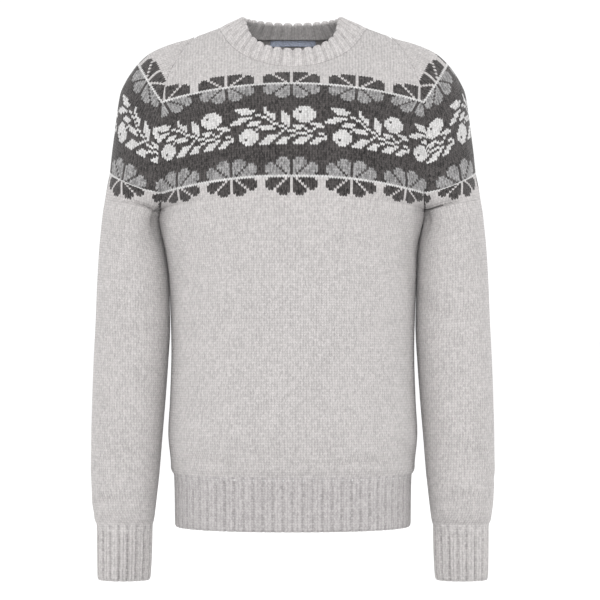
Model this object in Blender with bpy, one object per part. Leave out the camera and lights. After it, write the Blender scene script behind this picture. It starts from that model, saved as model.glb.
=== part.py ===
"""A ribbed crew-neck pullover, worn by nobody: hollow, open at neck, hem and cuffs.

Every panel is a thin wall on the rows of its own knitting. A row is counted in stitches of height from
the top of the hem rib. Metres, +Z up, the front faces -Y, and the origin is where the shoulders carry it.
"""

import math

import bmesh
import bpy
import numpy as np

# Cloth
WALL = 0.0024
SEAM_GAP = 0.0005
STITCH_TALL = 0.0033

# Ribs: two raised wales and a narrow sunk groove
RIB_DEPTH = 0.0015
HEM_RIBS = 38
CUFF_RIBS = 18
COLLAR_RIBS = 34
POINTS_PER_RIB = 3
EDGE_ROUND_ROWS = 1.2

# Rows where the pieces begin and end
HEM_EDGE = -22.0
HEM_TOP = -0.08
UNDERARM = 110.0
SHOULDER = 196.5
CUFF_EDGE = -44.5
CUFF_TOP = -21.13

# Share of the way from the centre to the edge where the shoulder seam starts, and where its mitre does
NECK_SHARE = 0.76
MITRE_SHARE = 0.74

# A panel's width along its rows, and half a seam gap in rows
PANEL_LENGTH = 0.40
ROW_INSET = SEAM_GAP / STITCH_TALL / 2.0

# Mesh density
PANEL_COLUMNS = 20
SLEEVE_COLUMNS = 18
LINE_SAMPLES = 40

# The collar stands on the neckline as a doubled band
COLLAR_HALF = 0.0030
COLLAR_CLEAR = 0.0009

# The label lies on the inside of the back neck
LABEL_WALL = 0.0010
LABEL_HALF_COLUMNS = 2
LABEL_SPAN = (0.04, 0.96)

# Half of each row of the front, from the centre line to the side seam or armhole
# row, centre z, centre depth, edge x, edge depth, edge z, edge turn in degrees, centre and edge roundness
FRONT = np.array((
    (-22.0, -0.6715, 0.1160, 0.1585, 0.0000, -0.6710, 90, 0.62, 0.46),
    (-20.5, -0.6665, 0.1180, 0.1603, 0.0000, -0.6660, 90, 0.62, 0.46),
    (-11.0, -0.6340, 0.1180, 0.1606, 0.0000, -0.6335, 90, 0.62, 0.46),
    (-1.0, -0.6005, 0.1185, 0.1615, 0.0000, -0.6000, 90, 0.62, 0.46),
    (0.0, -0.5975, 0.1195, 0.1625, 0.0000, -0.5970, 90, 0.62, 0.46),
    (3.0, -0.5875, 0.1265, 0.1662, 0.0000, -0.5880, 90, 0.62, 0.46),
    (9.0, -0.5674, 0.1305, 0.1680, 0.0000, -0.5680, 90, 0.62, 0.46),
    (16.0, -0.5440, 0.1310, 0.1684, 0.0000, -0.5450, 90, 0.62, 0.46),
    (30.0, -0.4973, 0.1285, 0.1660, 0.0000, -0.4990, 90, 0.61, 0.46),
    (50.0, -0.4305, 0.1248, 0.1641, 0.0000, -0.4330, 90, 0.60, 0.45),
    (70.0, -0.3637, 0.1228, 0.1658, 0.0000, -0.3670, 90, 0.59, 0.45),
    (88.0, -0.3035, 0.1225, 0.1682, 0.0000, -0.3080, 90, 0.56, 0.46),
    (100.0, -0.2635, 0.1238, 0.1695, 0.0000, -0.2700, 90, 0.51, 0.55),
    (106.0, -0.2434, 0.1249, 0.1700, 0.0000, -0.2520, 90, 0.57, 0.55),
    (110.0, -0.2300, 0.1257, 0.1706, 0.0000, -0.2400, 90, 0.64, 0.52),
    (112.0, -0.2233, 0.1260, 0.1713, 0.0300, -0.2345, 80, 0.58, 0.37),
    (115.0, -0.2132, 0.1264, 0.1722, 0.0505, -0.2270, 68, 0.48, 0.36),
    (119.5, -0.1980, 0.1268, 0.1743, 0.0665, -0.2150, 50, 0.43, 0.32),
    (122.0, -0.1897, 0.1270, 0.1785, 0.0735, -0.2068, 41, 0.41, 0.30),
    (126.0, -0.1765, 0.1270, 0.1803, 0.0785, -0.1955, 34, 0.40, 0.29),
    (131.0, -0.1600, 0.1264, 0.1805, 0.0812, -0.1812, 30, 0.38, 0.29),
    (139.0, -0.1345, 0.1243, 0.1795, 0.0828, -0.1580, 29, 0.38, 0.29),
    (147.0, -0.1095, 0.1198, 0.1778, 0.0810, -0.1345, 28, 0.38, 0.29),
    (152.0, -0.0950, 0.1140, 0.1766, 0.0780, -0.1200, 27, 0.38, 0.29),
    (159.5, -0.0752, 0.1025, 0.1750, 0.0715, -0.0985, 26, 0.38, 0.29),
    (166.0, -0.0595, 0.0895, 0.1722, 0.0635, -0.0780, 24, 0.38, 0.29),
    (172.0, -0.0468, 0.0755, 0.1665, 0.0540, -0.0600, 22, 0.37, 0.30),
    (180.0, -0.0285, 0.0510, 0.1560, 0.0372, -0.0375, 20, 0.36, 0.31),
    (188.0, -0.0050, 0.0230, 0.1435, 0.0150, -0.0168, 12, 0.35, 0.32),
    (193.0, 0.0125, 0.0035, 0.1362, -0.0010, -0.0082, 5, 0.34, 0.33),
    (196.5, 0.0240, -0.0100, 0.1320, -0.0100, -0.0052, 0, 0.33, 0.33),
))

# Half of each row of the back, in the same columns
BACK = np.array((
    (-22.0, -0.6705, 0.1080, 0.1585, 0.0000, -0.6710, 90, 0.62, 0.42),
    (-20.5, -0.6655, 0.1098, 0.1603, 0.0000, -0.6660, 90, 0.62, 0.42),
    (-11.0, -0.6330, 0.1098, 0.1606, 0.0000, -0.6335, 90, 0.62, 0.42),
    (-1.0, -0.5995, 0.1102, 0.1615, 0.0000, -0.6000, 90, 0.62, 0.42),
    (0.0, -0.5965, 0.1110, 0.1625, 0.0000, -0.5970, 90, 0.62, 0.42),
    (3.0, -0.5880, 0.1172, 0.1662, 0.0000, -0.5880, 90, 0.62, 0.42),
    (9.0, -0.5680, 0.1200, 0.1680, 0.0000, -0.5680, 90, 0.62, 0.42),
    (16.0, -0.5450, 0.1195, 0.1684, 0.0000, -0.5450, 90, 0.62, 0.42),
    (30.0, -0.4990, 0.1145, 0.1660, 0.0000, -0.4990, 90, 0.61, 0.41),
    (50.0, -0.4330, 0.1075, 0.1641, 0.0000, -0.4330, 90, 0.60, 0.40),
    (70.0, -0.3670, 0.1035, 0.1658, 0.0000, -0.3670, 90, 0.59, 0.39),
    (88.0, -0.3075, 0.1050, 0.1682, 0.0000, -0.3080, 90, 0.56, 0.41),
    (100.0, -0.2675, 0.1095, 0.1695, 0.0000, -0.2700, 90, 0.51, 0.49),
    (106.0, -0.2475, 0.1120, 0.1700, 0.0000, -0.2520, 90, 0.58, 0.48),
    (110.0, -0.2340, 0.1135, 0.1706, 0.0000, -0.2400, 90, 0.66, 0.46),
    (112.0, -0.2275, 0.1143, 0.1713, 0.0280, -0.2350, 80, 0.58, 0.34),
    (115.0, -0.2177, 0.1152, 0.1723, 0.0475, -0.2280, 68, 0.48, 0.32),
    (119.5, -0.2030, 0.1165, 0.1748, 0.0625, -0.2160, 50, 0.45, 0.28),
    (122.0, -0.1950, 0.1172, 0.1788, 0.0690, -0.2075, 41, 0.43, 0.28),
    (126.0, -0.1820, 0.1182, 0.1808, 0.0735, -0.1960, 34, 0.40, 0.28),
    (131.0, -0.1657, 0.1192, 0.1815, 0.0760, -0.1815, 30, 0.38, 0.28),
    (139.0, -0.1400, 0.1200, 0.1815, 0.0775, -0.1585, 29, 0.38, 0.28),
    (147.0, -0.1147, 0.1192, 0.1800, 0.0765, -0.1350, 28, 0.38, 0.28),
    (152.0, -0.0990, 0.1175, 0.1788, 0.0745, -0.1205, 27, 0.38, 0.28),
    (159.5, -0.0765, 0.1125, 0.1768, 0.0690, -0.0990, 26, 0.38, 0.28),
    (166.0, -0.0580, 0.1060, 0.1735, 0.0630, -0.0785, 24, 0.38, 0.28),
    (172.0, -0.0415, 0.0985, 0.1675, 0.0555, -0.0608, 22, 0.37, 0.29),
    (180.0, -0.0180, 0.0868, 0.1570, 0.0430, -0.0380, 20, 0.36, 0.30),
    (186.0, -0.0010, 0.0750, 0.1472, 0.0325, -0.0220, 17, 0.35, 0.31),
    (190.0, 0.0100, 0.0560, 0.1407, 0.0248, -0.0130, 12, 0.35, 0.32),
    (193.5, 0.0190, 0.0320, 0.1358, 0.0172, -0.0078, 5, 0.34, 0.33),
    (196.5, 0.0240, 0.0100, 0.1320, 0.0100, -0.0052, 0, 0.33, 0.33),
))

# The row where each panel ends, by its share of the way from the centre to the edge
FRONT_TOP = np.array((
    (0.00, 170.0), (0.10, 170.6), (0.20, 172.3), (0.30, 175.0), (0.40, 178.4),
    (0.50, 182.2), (0.60, 186.8), (0.70, 192.6), (NECK_SHARE, SHOULDER), (1.00, SHOULDER),
))
BACK_TOP = np.array((
    (0.00, 186.0), (0.20, 186.3), (0.40, 187.4), (0.55, 189.3), (0.66, 192.3),
    (NECK_SHARE, SHOULDER), (1.00, SHOULDER),
))

# The sleeve above the underarm: each row runs from the front armhole over the shoulder to the back armhole
# body row that it is sewn to, outer x, outer z, outer y, pull away from the body, seam and outer roundness
CAP = np.array((
    (110.0, 0.2545, -0.2220, 0.000, 1.00, 0.94, 0.94),
    (112.0, 0.2535, -0.2147, 0.000, 0.85, 0.68, 0.68),
    (115.0, 0.2515, -0.2040, 0.000, 0.64, 0.51, 0.55),
    (119.5, 0.2482, -0.1880, 0.000, 0.44, 0.43, 0.47),
    (122.0, 0.2472, -0.1785, 0.000, 0.28, 0.42, 0.43),
    (126.0, 0.2455, -0.1633, 0.000, 0.12, 0.42, 0.38),
    (131.0, 0.2430, -0.1442, 0.000, 0.00, 0.43, 0.33),
    (139.0, 0.2390, -0.1137, 0.000, 0.00, 0.42, 0.30),
    (147.0, 0.2343, -0.0835, 0.001, 0.00, 0.42, 0.30),
    (152.0, 0.2268, -0.0662, 0.002, 0.00, 0.42, 0.31),
    (159.5, 0.2102, -0.0422, 0.004, 0.00, 0.41, 0.33),
    (169.0, 0.1915, -0.0262, 0.006, 0.00, 0.40, 0.36),
    (182.0, 0.1610, -0.0135, 0.008, 0.00, 0.39, 0.38),
    (190.5, 0.1425, -0.0085, 0.009, 0.00, 0.38, 0.38),
    (194.3, 0.1327, -0.0053, 0.010, 0.00, 0.36, 0.36),
))

# The sleeve below the underarm, as closed rows
# row, outer x, outer z, inner x, inner z, front depth, back depth, middle y
TUBE = np.array((
    (-44.5, 0.2628, -0.7440, 0.1945, -0.7440, 0.0295, 0.0285, -0.0150),
    (-42.5, 0.2648, -0.7370, 0.1925, -0.7370, 0.0308, 0.0300, -0.0150),
    (-32.0, 0.2655, -0.7020, 0.1905, -0.7020, 0.0315, 0.0305, -0.0145),
    (-22.0, 0.2658, -0.6685, 0.1898, -0.6685, 0.0322, 0.0312, -0.0138),
    (-21.0, 0.2665, -0.6650, 0.1895, -0.6650, 0.0335, 0.0325, -0.0136),
    (-19.0, 0.2685, -0.6590, 0.1885, -0.6590, 0.0372, 0.0362, -0.0132),
    (-14.0, 0.2708, -0.6430, 0.1866, -0.6430, 0.0412, 0.0400, -0.0122),
    (-8.0, 0.2722, -0.6235, 0.1845, -0.6240, 0.0430, 0.0420, -0.0112),
    (0.0, 0.2733, -0.5970, 0.1818, -0.5980, 0.0442, 0.0435, -0.0098),
    (15.0, 0.2730, -0.5460, 0.1778, -0.5480, 0.0465, 0.0462, -0.0078),
    (30.0, 0.2718, -0.4950, 0.1737, -0.4980, 0.0490, 0.0490, -0.0058),
    (45.0, 0.2700, -0.4440, 0.1702, -0.4485, 0.0515, 0.0520, -0.0040),
    (60.0, 0.2675, -0.3930, 0.1676, -0.3995, 0.0545, 0.0550, -0.0028),
    (75.0, 0.2655, -0.3420, 0.1685, -0.3510, 0.0575, 0.0575, -0.0018),
    (88.0, 0.2630, -0.2975, 0.1696, -0.3100, 0.0602, 0.0590, -0.0008),
    (98.0, 0.2600, -0.2635, 0.1708, -0.2785, 0.0622, 0.0600, 0.0000),
    (104.0, 0.2578, -0.2427, 0.1714, -0.2590, 0.0628, 0.0602, 0.0000),
    (110.0, 0.2545, -0.2220, 0.1706, -0.2400, 0.0625, 0.0600, 0.0000),
))

# The top edge of the collar round the neck: turn from the centre front in degrees, reach, height
COLLAR_TOP = np.array((
    (0, 0.0660, -0.0262), (25, 0.0665, -0.0225), (40, 0.0672, -0.0155), (55, 0.0682, -0.0060),
    (70, 0.0692, 0.0078), (90, 0.0695, 0.0192), (120, 0.0675, 0.0215), (150, 0.0640, 0.0200),
    (180, 0.0622, 0.0190),
))
# A section through the collar, up the outside and down the inside: share of its height, share of its half
COLLAR_SECTION = (
    (0.00, 0.95), (0.45, 1.10), (0.88, 1.00), (1.00, 0.45), (1.00, -0.45), (0.88, -1.00), (0.45, -1.00),
    (0.00, -0.95),
)
COLLAR_GROOVE = 0.0010

# Rows of the meshes: the panels and the sleeve's cap share theirs, so that the two sides of an armhole match
LOW_ROWS = (0, 3, 8, 15, 28, 50, 72, 90, 101, 107, 110)
YOKE_ROWS = (112.5, 116, 120, 124, 131, 140, 150, 160)
UPPER_SHARES = (0.2, 0.4, 0.6, 0.8, 0.94, 1.0)
TUBE_ROWS = (-21, -19, -15, -8, 4, 24, 44, 62, 78, 90, 100, 106, 110)

LIGHT_WOOL = (0.58, 0.56, 0.54, 1.0)
LABEL_BLUE = (0.25, 0.30, 0.42, 1.0)


def clear_scene():
    for obj in list(bpy.data.objects):
        bpy.data.objects.remove(obj, do_unlink=True)


def smooth_columns(table):
    """A function that gives a table's columns at any row, on a curve that never overshoots its rows."""
    knots = table[:, 0]
    steps = np.diff(knots)
    rises = np.diff(table[:, 1:], axis=0) / steps[:, None]
    slopes = np.zeros_like(table[:, 1:])
    slopes[0] = rises[0]
    slopes[-1] = rises[-1]
    turning = rises[:-1] * rises[1:] > 0
    safe = np.where(turning, rises[:-1] + rises[1:], 1.0)
    slopes[1:-1] = np.where(turning, 2.0 * rises[:-1] * rises[1:] / safe, 0.0)

    def at(row):
        k = int(np.clip(np.searchsorted(knots, row) - 1, 0, len(steps) - 1))
        s = (row - knots[k]) / steps[k]
        ends = (2 * s**3 - 3 * s**2 + 1) * table[k, 1:] + (3 * s**2 - 2 * s**3) * table[k + 1, 1:]
        pulls = (s**3 - 2 * s**2 + s) * slopes[k] + (s**3 - s**2) * slopes[k + 1]
        return ends + pulls * steps[k]

    return at


front_at = smooth_columns(FRONT)
back_at = smooth_columns(BACK)
cap_at = smooth_columns(CAP)
tube_at = smooth_columns(TUBE)
front_top_at = smooth_columns(FRONT_TOP)
back_top_at = smooth_columns(BACK_TOP)
collar_top_at = smooth_columns(COLLAR_TOP)


def bezier(start, pull_start, pull_end, end, samples=LINE_SAMPLES):
    s = np.linspace(0.0, 1.0, samples)[:, None]
    return (
        (1 - s) ** 3 * start
        + 3 * (1 - s) ** 2 * s * pull_start
        + 3 * (1 - s) * s**2 * pull_end
        + s**3 * end
    )


def spaced(line, shares):
    """Points at these shares of a line's own length."""
    lengths = np.concatenate([[0.0], np.cumsum(np.linalg.norm(np.diff(line, axis=0), axis=1))])
    wanted = np.asarray(shares) * lengths[-1]
    return np.stack([np.interp(wanted, lengths, line[:, k]) for k in range(3)], axis=1)


def unit(vector):
    return vector / np.linalg.norm(vector)


def body_edge(facing, row):
    """The end of a body row on the +X side, and the way that the cloth runs there; facing -1 is the front."""
    mid_z, _, edge_x, edge_depth, edge_z, turn, _, _ = (front_at if facing < 0 else back_at)(row)
    angle = math.radians(turn)
    droop = 2.0 * (edge_z - mid_z) / edge_x if turn < 89.0 else 0.0
    way = unit(np.array((math.cos(angle), -facing * math.sin(angle), droop)))
    return np.array((edge_x, facing * edge_depth, edge_z)), way


def body_line(facing, row):
    """Half a row of the front or back, from the centre line to its edge on the +X side."""
    mid_z, mid_depth, edge_x, _, _, _, mid_round, edge_round = (front_at if facing < 0 else back_at)(row)
    middle = np.array((0.0, facing * mid_depth, mid_z))
    edge, way = body_edge(facing, row)
    return bezier(
        middle,
        middle + np.array((mid_round * edge_x, 0.0, 0.0)),
        edge - edge_round * edge_x * way,
        edge,
    )


def body_point(facing, row, share):
    """A point of the front or back; share runs from -1 at the edge on the -X side to 1 on the +X side."""
    point = spaced(body_line(facing, row), [abs(share)])[0]
    if share < 0:
        point[0] = -point[0]
    return point


def armhole_way(facing, row):
    return unit(body_edge(facing, row + 0.5)[0] - body_edge(facing, row - 0.5)[0])


def armhole_normal(facing, row):
    """The way out of the cloth at the armhole on the +X side, which the panel and the sleeve share there."""
    return unit(np.cross(body_edge(facing, row)[1], armhole_way(facing, row))) * -facing


def cap_half(facing, row):
    """Half a row of the sleeve's cap on the +X side, from its armhole to the outer line of the sleeve."""
    out_x, out_z, out_y, away, seam_round, out_round = cap_at(row)
    seam, way = body_edge(facing, row)
    outer = np.array((out_x, out_y, out_z))
    reach = np.linalg.norm(outer - seam)
    along = armhole_way(facing, row)
    across = unit(way - along * np.dot(way, along))
    toward = outer - seam
    smooth = unit(across * max(np.dot(toward, across), 0.5 * reach) + along * np.dot(toward, along))
    start_way = unit((1.0 - away) * smooth + away * np.array((0.0, facing, 0.0)))
    return bezier(
        seam,
        seam + seam_round * reach * start_way,
        outer + out_round * reach * np.array((0.0, facing, 0.0)),
        outer,
    )


def tube_half(facing, row):
    """Half a closed row of the sleeve on the +X side, from the underarm line to the outer line."""
    out_x, out_z, in_x, in_z, front_depth, back_depth, middle = tube_at(row)
    depth = front_depth if facing < 0 else back_depth
    inner = np.array((in_x, middle, in_z))
    outer = np.array((out_x, middle, out_z))
    pull = np.array((0.0, facing * depth * 4.0 / 3.0, 0.0))
    return bezier(inner, inner + pull, outer + pull, outer)


def sleeve_line(row):
    """A whole row of the sleeve on the +X side, from the front edge over the outside to the back edge."""
    half = cap_half if row > UNDERARM else tube_half
    return np.concatenate([half(-1, row), half(1, row)[-2::-1]])


def grid_normals(grid, closed=False):
    """Outward normals of a grid of points, rows going up and columns turning to the right seen from outside."""
    if closed:
        wrapped = np.concatenate([grid[:, -1:], grid, grid[:, :1]], axis=1)
        across = np.gradient(wrapped, axis=1)[:, 1:-1]
    else:
        across = np.gradient(grid, axis=1)
    up = np.gradient(grid, axis=0)
    normals = np.cross(across, up)
    return normals / np.linalg.norm(normals, axis=2, keepdims=True)


def wall_mesh(name, outer, inner, closed_rows=()):
    """One closed wall between two grids of points. In a closed row the last column is the first."""
    bm = bmesh.new()
    rows, columns = outer.shape[:2]
    sides = []
    for points in (outer, inner):
        verts = []
        for i in range(rows):
            line = [bm.verts.new(points[i, j]) for j in range(columns - (i in closed_rows))]
            if i in closed_rows:
                line.append(line[0])
            verts.append(line)
        sides.append(verts)
    out, back = sides
    for i in range(rows - 1):
        for j in range(columns - 1):
            bm.faces.new((out[i][j], out[i][j + 1], out[i + 1][j + 1], out[i + 1][j]))
            bm.faces.new((back[i][j], back[i + 1][j], back[i + 1][j + 1], back[i][j + 1]))
        if not (i in closed_rows and i + 1 in closed_rows):
            bm.faces.new((out[i][0], out[i + 1][0], back[i + 1][0], back[i][0]))
            bm.faces.new((out[i][-1], back[i][-1], back[i + 1][-1], out[i + 1][-1]))
    for j in range(columns - 1):
        bm.faces.new((out[0][j], back[0][j], back[0][j + 1], out[0][j + 1]))
        bm.faces.new((out[-1][j], out[-1][j + 1], back[-1][j + 1], back[-1][j]))
    return finished(bm, name)


def finished(bm, name):
    mesh = bpy.data.meshes.new(name)
    bm.to_mesh(mesh)
    bm.free()
    mesh.shade_smooth()
    mesh.set_sharp_from_angle(angle=math.radians(50))
    obj = bpy.data.objects.new(name, mesh)
    bpy.context.scene.collection.objects.link(obj)
    return obj


def dress(obj, colour, roughness):
    """Gives an object a material of its own."""
    material = bpy.data.materials.new(obj.name)
    material.use_nodes = True
    shader = material.node_tree.nodes["Principled BSDF"]
    shader.inputs["Base Color"].default_value = colour
    shader.inputs["Roughness"].default_value = roughness
    shader.inputs["Metallic"].default_value = 0.0
    obj.data.materials.append(material)


def seam_shares(columns, length):
    """Shares from edge to edge of a line this long, kept half a seam gap from both ends."""
    inset = SEAM_GAP / length
    return np.linspace(-1.0 + inset, 1.0 - inset, columns + 1)


def upper_rows(end):
    """The panels' rows above the yoke, up to this one."""
    return YOKE_ROWS[-1] + (end - YOKE_ROWS[-1]) * np.array(UPPER_SHARES)


def panel_grids(facing, top_at):
    """The outside and inside of the front or back: its rows, then steps up to the neckline and shoulders."""
    shares = seam_shares(PANEL_COLUMNS, PANEL_LENGTH)
    columns = []
    for s in shares:
        rows = np.concatenate([LOW_ROWS, YOKE_ROWS, upper_rows(top_at(abs(s))[0] - ROW_INSET)])
        rows[0] += ROW_INSET
        columns.append([body_point(facing, row, s) for row in rows])
    grid = np.array(columns).transpose(1, 0, 2)
    normals = grid_normals(grid) * -facing
    # The wall is cut square at the side seams, along the armholes and at the shoulder seams
    normals[: len(LOW_ROWS), (0, -1), 1] = 0.0
    for j in (0, -1):
        side = np.array((math.copysign(1.0, shares[j]), 1.0, 1.0))
        for i in range(len(LOW_ROWS) + 2, len(rows) - 1):
            normals[i, j] = armhole_normal(facing, rows[i]) * side
    normals[-1, np.abs(shares) >= MITRE_SHARE, 1] = 0.0
    normals /= np.linalg.norm(normals, axis=2, keepdims=True)
    inner = grid - WALL * normals
    if facing > 0:
        return grid[:, ::-1], inner[:, ::-1]
    return grid, inner


def rib_raise(columns):
    """How far each column of a ribbed band lies below the tops of its ribs."""
    return np.array([RIB_DEPTH if j % POINTS_PER_RIB == 0 else 0.0 for j in range(columns)])


def hem_rib(name, facing):
    columns = HEM_RIBS * POINTS_PER_RIB
    shares = seam_shares(columns, PANEL_LENGTH)
    if facing > 0:
        shares = shares[::-1]
    rows = (HEM_EDGE, HEM_EDGE + EDGE_ROUND_ROWS, HEM_TOP)
    grid = np.array([[body_point(facing, row, s) for s in shares] for row in rows])
    normals = grid_normals(grid)
    outer = grid - rib_raise(columns + 1)[None, :, None] * normals
    inner = grid - (RIB_DEPTH + WALL) * normals
    return wall_mesh(name, outer, inner)


def mirrored(grid):
    """The same grid on the other side, its columns turned round so that it still faces outwards."""
    return (grid * np.array((-1.0, 1.0, 1.0)))[:, ::-1]


def sleeve(name, side):
    """side is 1 for the +X side."""
    rows = np.concatenate([TUBE_ROWS, YOKE_ROWS, upper_rows(SHOULDER)[:-1]])
    closed = range(len(TUBE_ROWS))
    grid = []
    for row in rows:
        line = sleeve_line(row)
        shares = np.linspace(0.0, 1.0, SLEEVE_COLUMNS + 1)
        if row > UNDERARM:
            length = np.linalg.norm(np.diff(line, axis=0), axis=1).sum()
            shares = 0.5 + 0.5 * seam_shares(SLEEVE_COLUMNS, length)
        grid.append(spaced(line, shares))
    grid = np.array(grid)
    normals = grid_normals(grid)
    for i in closed:
        normals[i, 0] = normals[i, -1] = unit(normals[i, 0] + normals[i, -1])
    for i in range(len(TUBE_ROWS) + 2, len(rows)):
        normals[i, 0] = armhole_normal(-1, rows[i])
        normals[i, -1] = armhole_normal(1, rows[i])
    inner = grid - WALL * normals
    if side < 0:
        grid, inner = mirrored(grid), mirrored(inner)
    return wall_mesh(name, grid, inner, closed_rows=closed)


def cuff(name, side):
    columns = CUFF_RIBS * POINTS_PER_RIB
    shares = np.arange(columns) / columns
    rows = (CUFF_EDGE, CUFF_EDGE + EDGE_ROUND_ROWS, CUFF_TOP)
    grid = np.array([spaced(sleeve_line(row), shares) for row in rows])
    normals = grid_normals(grid, closed=True)
    outer = grid - rib_raise(columns)[None, :, None] * normals
    inner = grid - (RIB_DEPTH + WALL) * normals
    outer = np.concatenate([outer, outer[:, :1]], axis=1)
    inner = np.concatenate([inner, inner[:, :1]], axis=1)
    if side < 0:
        outer, inner = mirrored(outer), mirrored(inner)
    return wall_mesh(name, outer, inner, closed_rows=range(len(rows)))


def neck_seam():
    """The whole neckline as a closed line, from the centre front round by +X."""
    shares = np.linspace(0.0, NECK_SHARE, LINE_SAMPLES)
    front = [body_point(-1, front_top_at(s)[0], s) for s in shares]
    back = [body_point(1, back_top_at(s)[0], s) for s in shares[:-1]]
    half = np.array(front + back[::-1])
    return np.concatenate([half, half[-2::-1] * np.array((-1.0, 1.0, 1.0))])


def collar(name):
    """A doubled ribbed band, as a ring of sections between the neckline and its own top edge."""
    columns = COLLAR_RIBS * POINTS_PER_RIB
    base = spaced(neck_seam(), np.arange(columns) / columns)
    turns = np.arctan2(base[:, 0], -base[:, 1])
    reach_height = np.array([collar_top_at(abs(math.degrees(t))) for t in turns])
    top = np.stack(
        [reach_height[:, 0] * np.sin(turns), -reach_height[:, 0] * np.cos(turns), reach_height[:, 1]], axis=1
    )
    around = np.roll(base, -1, axis=0) - np.roll(base, 1, axis=0)
    rings = []
    for height, half in COLLAR_SECTION:
        ring = []
        for j in range(columns):
            up = unit(top[j] - base[j])
            out = unit(np.cross(around[j], up))
            groove = COLLAR_GROOVE if j % POINTS_PER_RIB == 0 else 0.0
            foot = base[j] - 0.5 * WALL * out + COLLAR_CLEAR * up
            along = np.linalg.norm(top[j] - foot) * height - (groove if height == 1.0 else 0.0)
            ring.append(foot + along * up + (half * COLLAR_HALF - math.copysign(groove, half)) * out)
        rings.append(ring)
    bm = bmesh.new()
    verts = [[bm.verts.new(point) for point in ring] for ring in rings]
    for i in range(len(verts)):
        for j in range(columns):
            after = (j + 1) % columns
            above = (i + 1) % len(verts)
            bm.faces.new((verts[i][j], verts[i][after], verts[above][after], verts[above][j]))
    bmesh.ops.recalc_face_normals(bm, faces=bm.faces)
    return finished(bm, name)


def label(name, inside):
    """A small woven label on the inside of the back neck, made from the inside of the back."""
    middle = inside.shape[1] // 2
    columns = slice(middle - LABEL_HALF_COLUMNS, middle + LABEL_HALF_COLUMNS + 1)
    low, high = inside[-3, columns], inside[-2, columns]
    near = np.array([low + (high - low) * share for share in LABEL_SPAN])
    normals = grid_normals(near)
    near = near - SEAM_GAP * normals
    return wall_mesh(name, near, near - LABEL_WALL * normals)


def build():
    clear_scene()
    front_outside, front_inside = panel_grids(-1, front_top_at)
    back_outside, back_inside = panel_grids(1, back_top_at)
    pieces = [
        wall_mesh("front", front_outside, front_inside),
        wall_mesh("back", back_outside, back_inside),
        sleeve("sleeve_left", -1),
        sleeve("sleeve_right", 1),
        hem_rib("hem_rib_front", -1),
        hem_rib("hem_rib_back", 1),
        cuff("cuff_left", -1),
        cuff("cuff_right", 1),
        collar("collar"),
    ]
    for piece in pieces:
        dress(piece, LIGHT_WOOL, 0.9)
    dress(label("neck_label", back_inside), LABEL_BLUE, 0.8)


build()
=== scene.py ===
"""A crew-neck knitted pullover with a band of flowers and leaves round the yoke, filled out as when worn.

Each panel is knitted stitch by stitch on the rows of its own cloth. Wales count from a panel's middle, to
the right as seen from outside, and rows count up from the top of the hem rib. Metres, +Z up, front -Y.
"""

import math
from contextlib import contextmanager

import bmesh
import bpy
import numpy as np
from bpy.props import FloatProperty, FloatVectorProperty, PointerProperty
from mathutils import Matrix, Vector


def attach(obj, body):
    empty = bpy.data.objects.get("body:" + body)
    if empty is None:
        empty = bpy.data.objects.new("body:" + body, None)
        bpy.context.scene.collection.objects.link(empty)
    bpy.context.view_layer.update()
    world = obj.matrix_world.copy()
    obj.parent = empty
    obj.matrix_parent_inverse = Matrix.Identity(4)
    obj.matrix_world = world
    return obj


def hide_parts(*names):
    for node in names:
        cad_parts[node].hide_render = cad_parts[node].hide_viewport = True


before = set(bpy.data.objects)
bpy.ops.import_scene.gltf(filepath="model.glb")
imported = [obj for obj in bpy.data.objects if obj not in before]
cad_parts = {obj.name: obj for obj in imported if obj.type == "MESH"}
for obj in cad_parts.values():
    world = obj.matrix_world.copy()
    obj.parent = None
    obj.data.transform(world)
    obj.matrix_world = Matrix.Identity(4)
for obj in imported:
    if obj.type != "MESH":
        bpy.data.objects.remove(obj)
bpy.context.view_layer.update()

bl_info = {
    "name": "Yoke Band Sweater",
    "version": (1, 0, 0),
    "blender": (4, 5, 0),
    "location": "3D View > Sidebar > Sweater",
    "description": "Knits a ribbed crew-neck sweater stitch by stitch on its fixed form",
    "category": "Add Mesh",
}

# Cloth
WALL = 0.0024
STITCH_TALL = 0.0033

# Rows where the pieces begin and end
HEM_EDGE = -22.0
HEM_TOP = -0.08
UNDERARM = 110.0
SHOULDER = 196.5
CAP_TOP = 194.3
CUFF_EDGE = -44.5
CUFF_TOP = -21.13

# Share of the way from the centre to the edge where the shoulder seam starts
NECK_SHARE = 0.76

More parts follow.
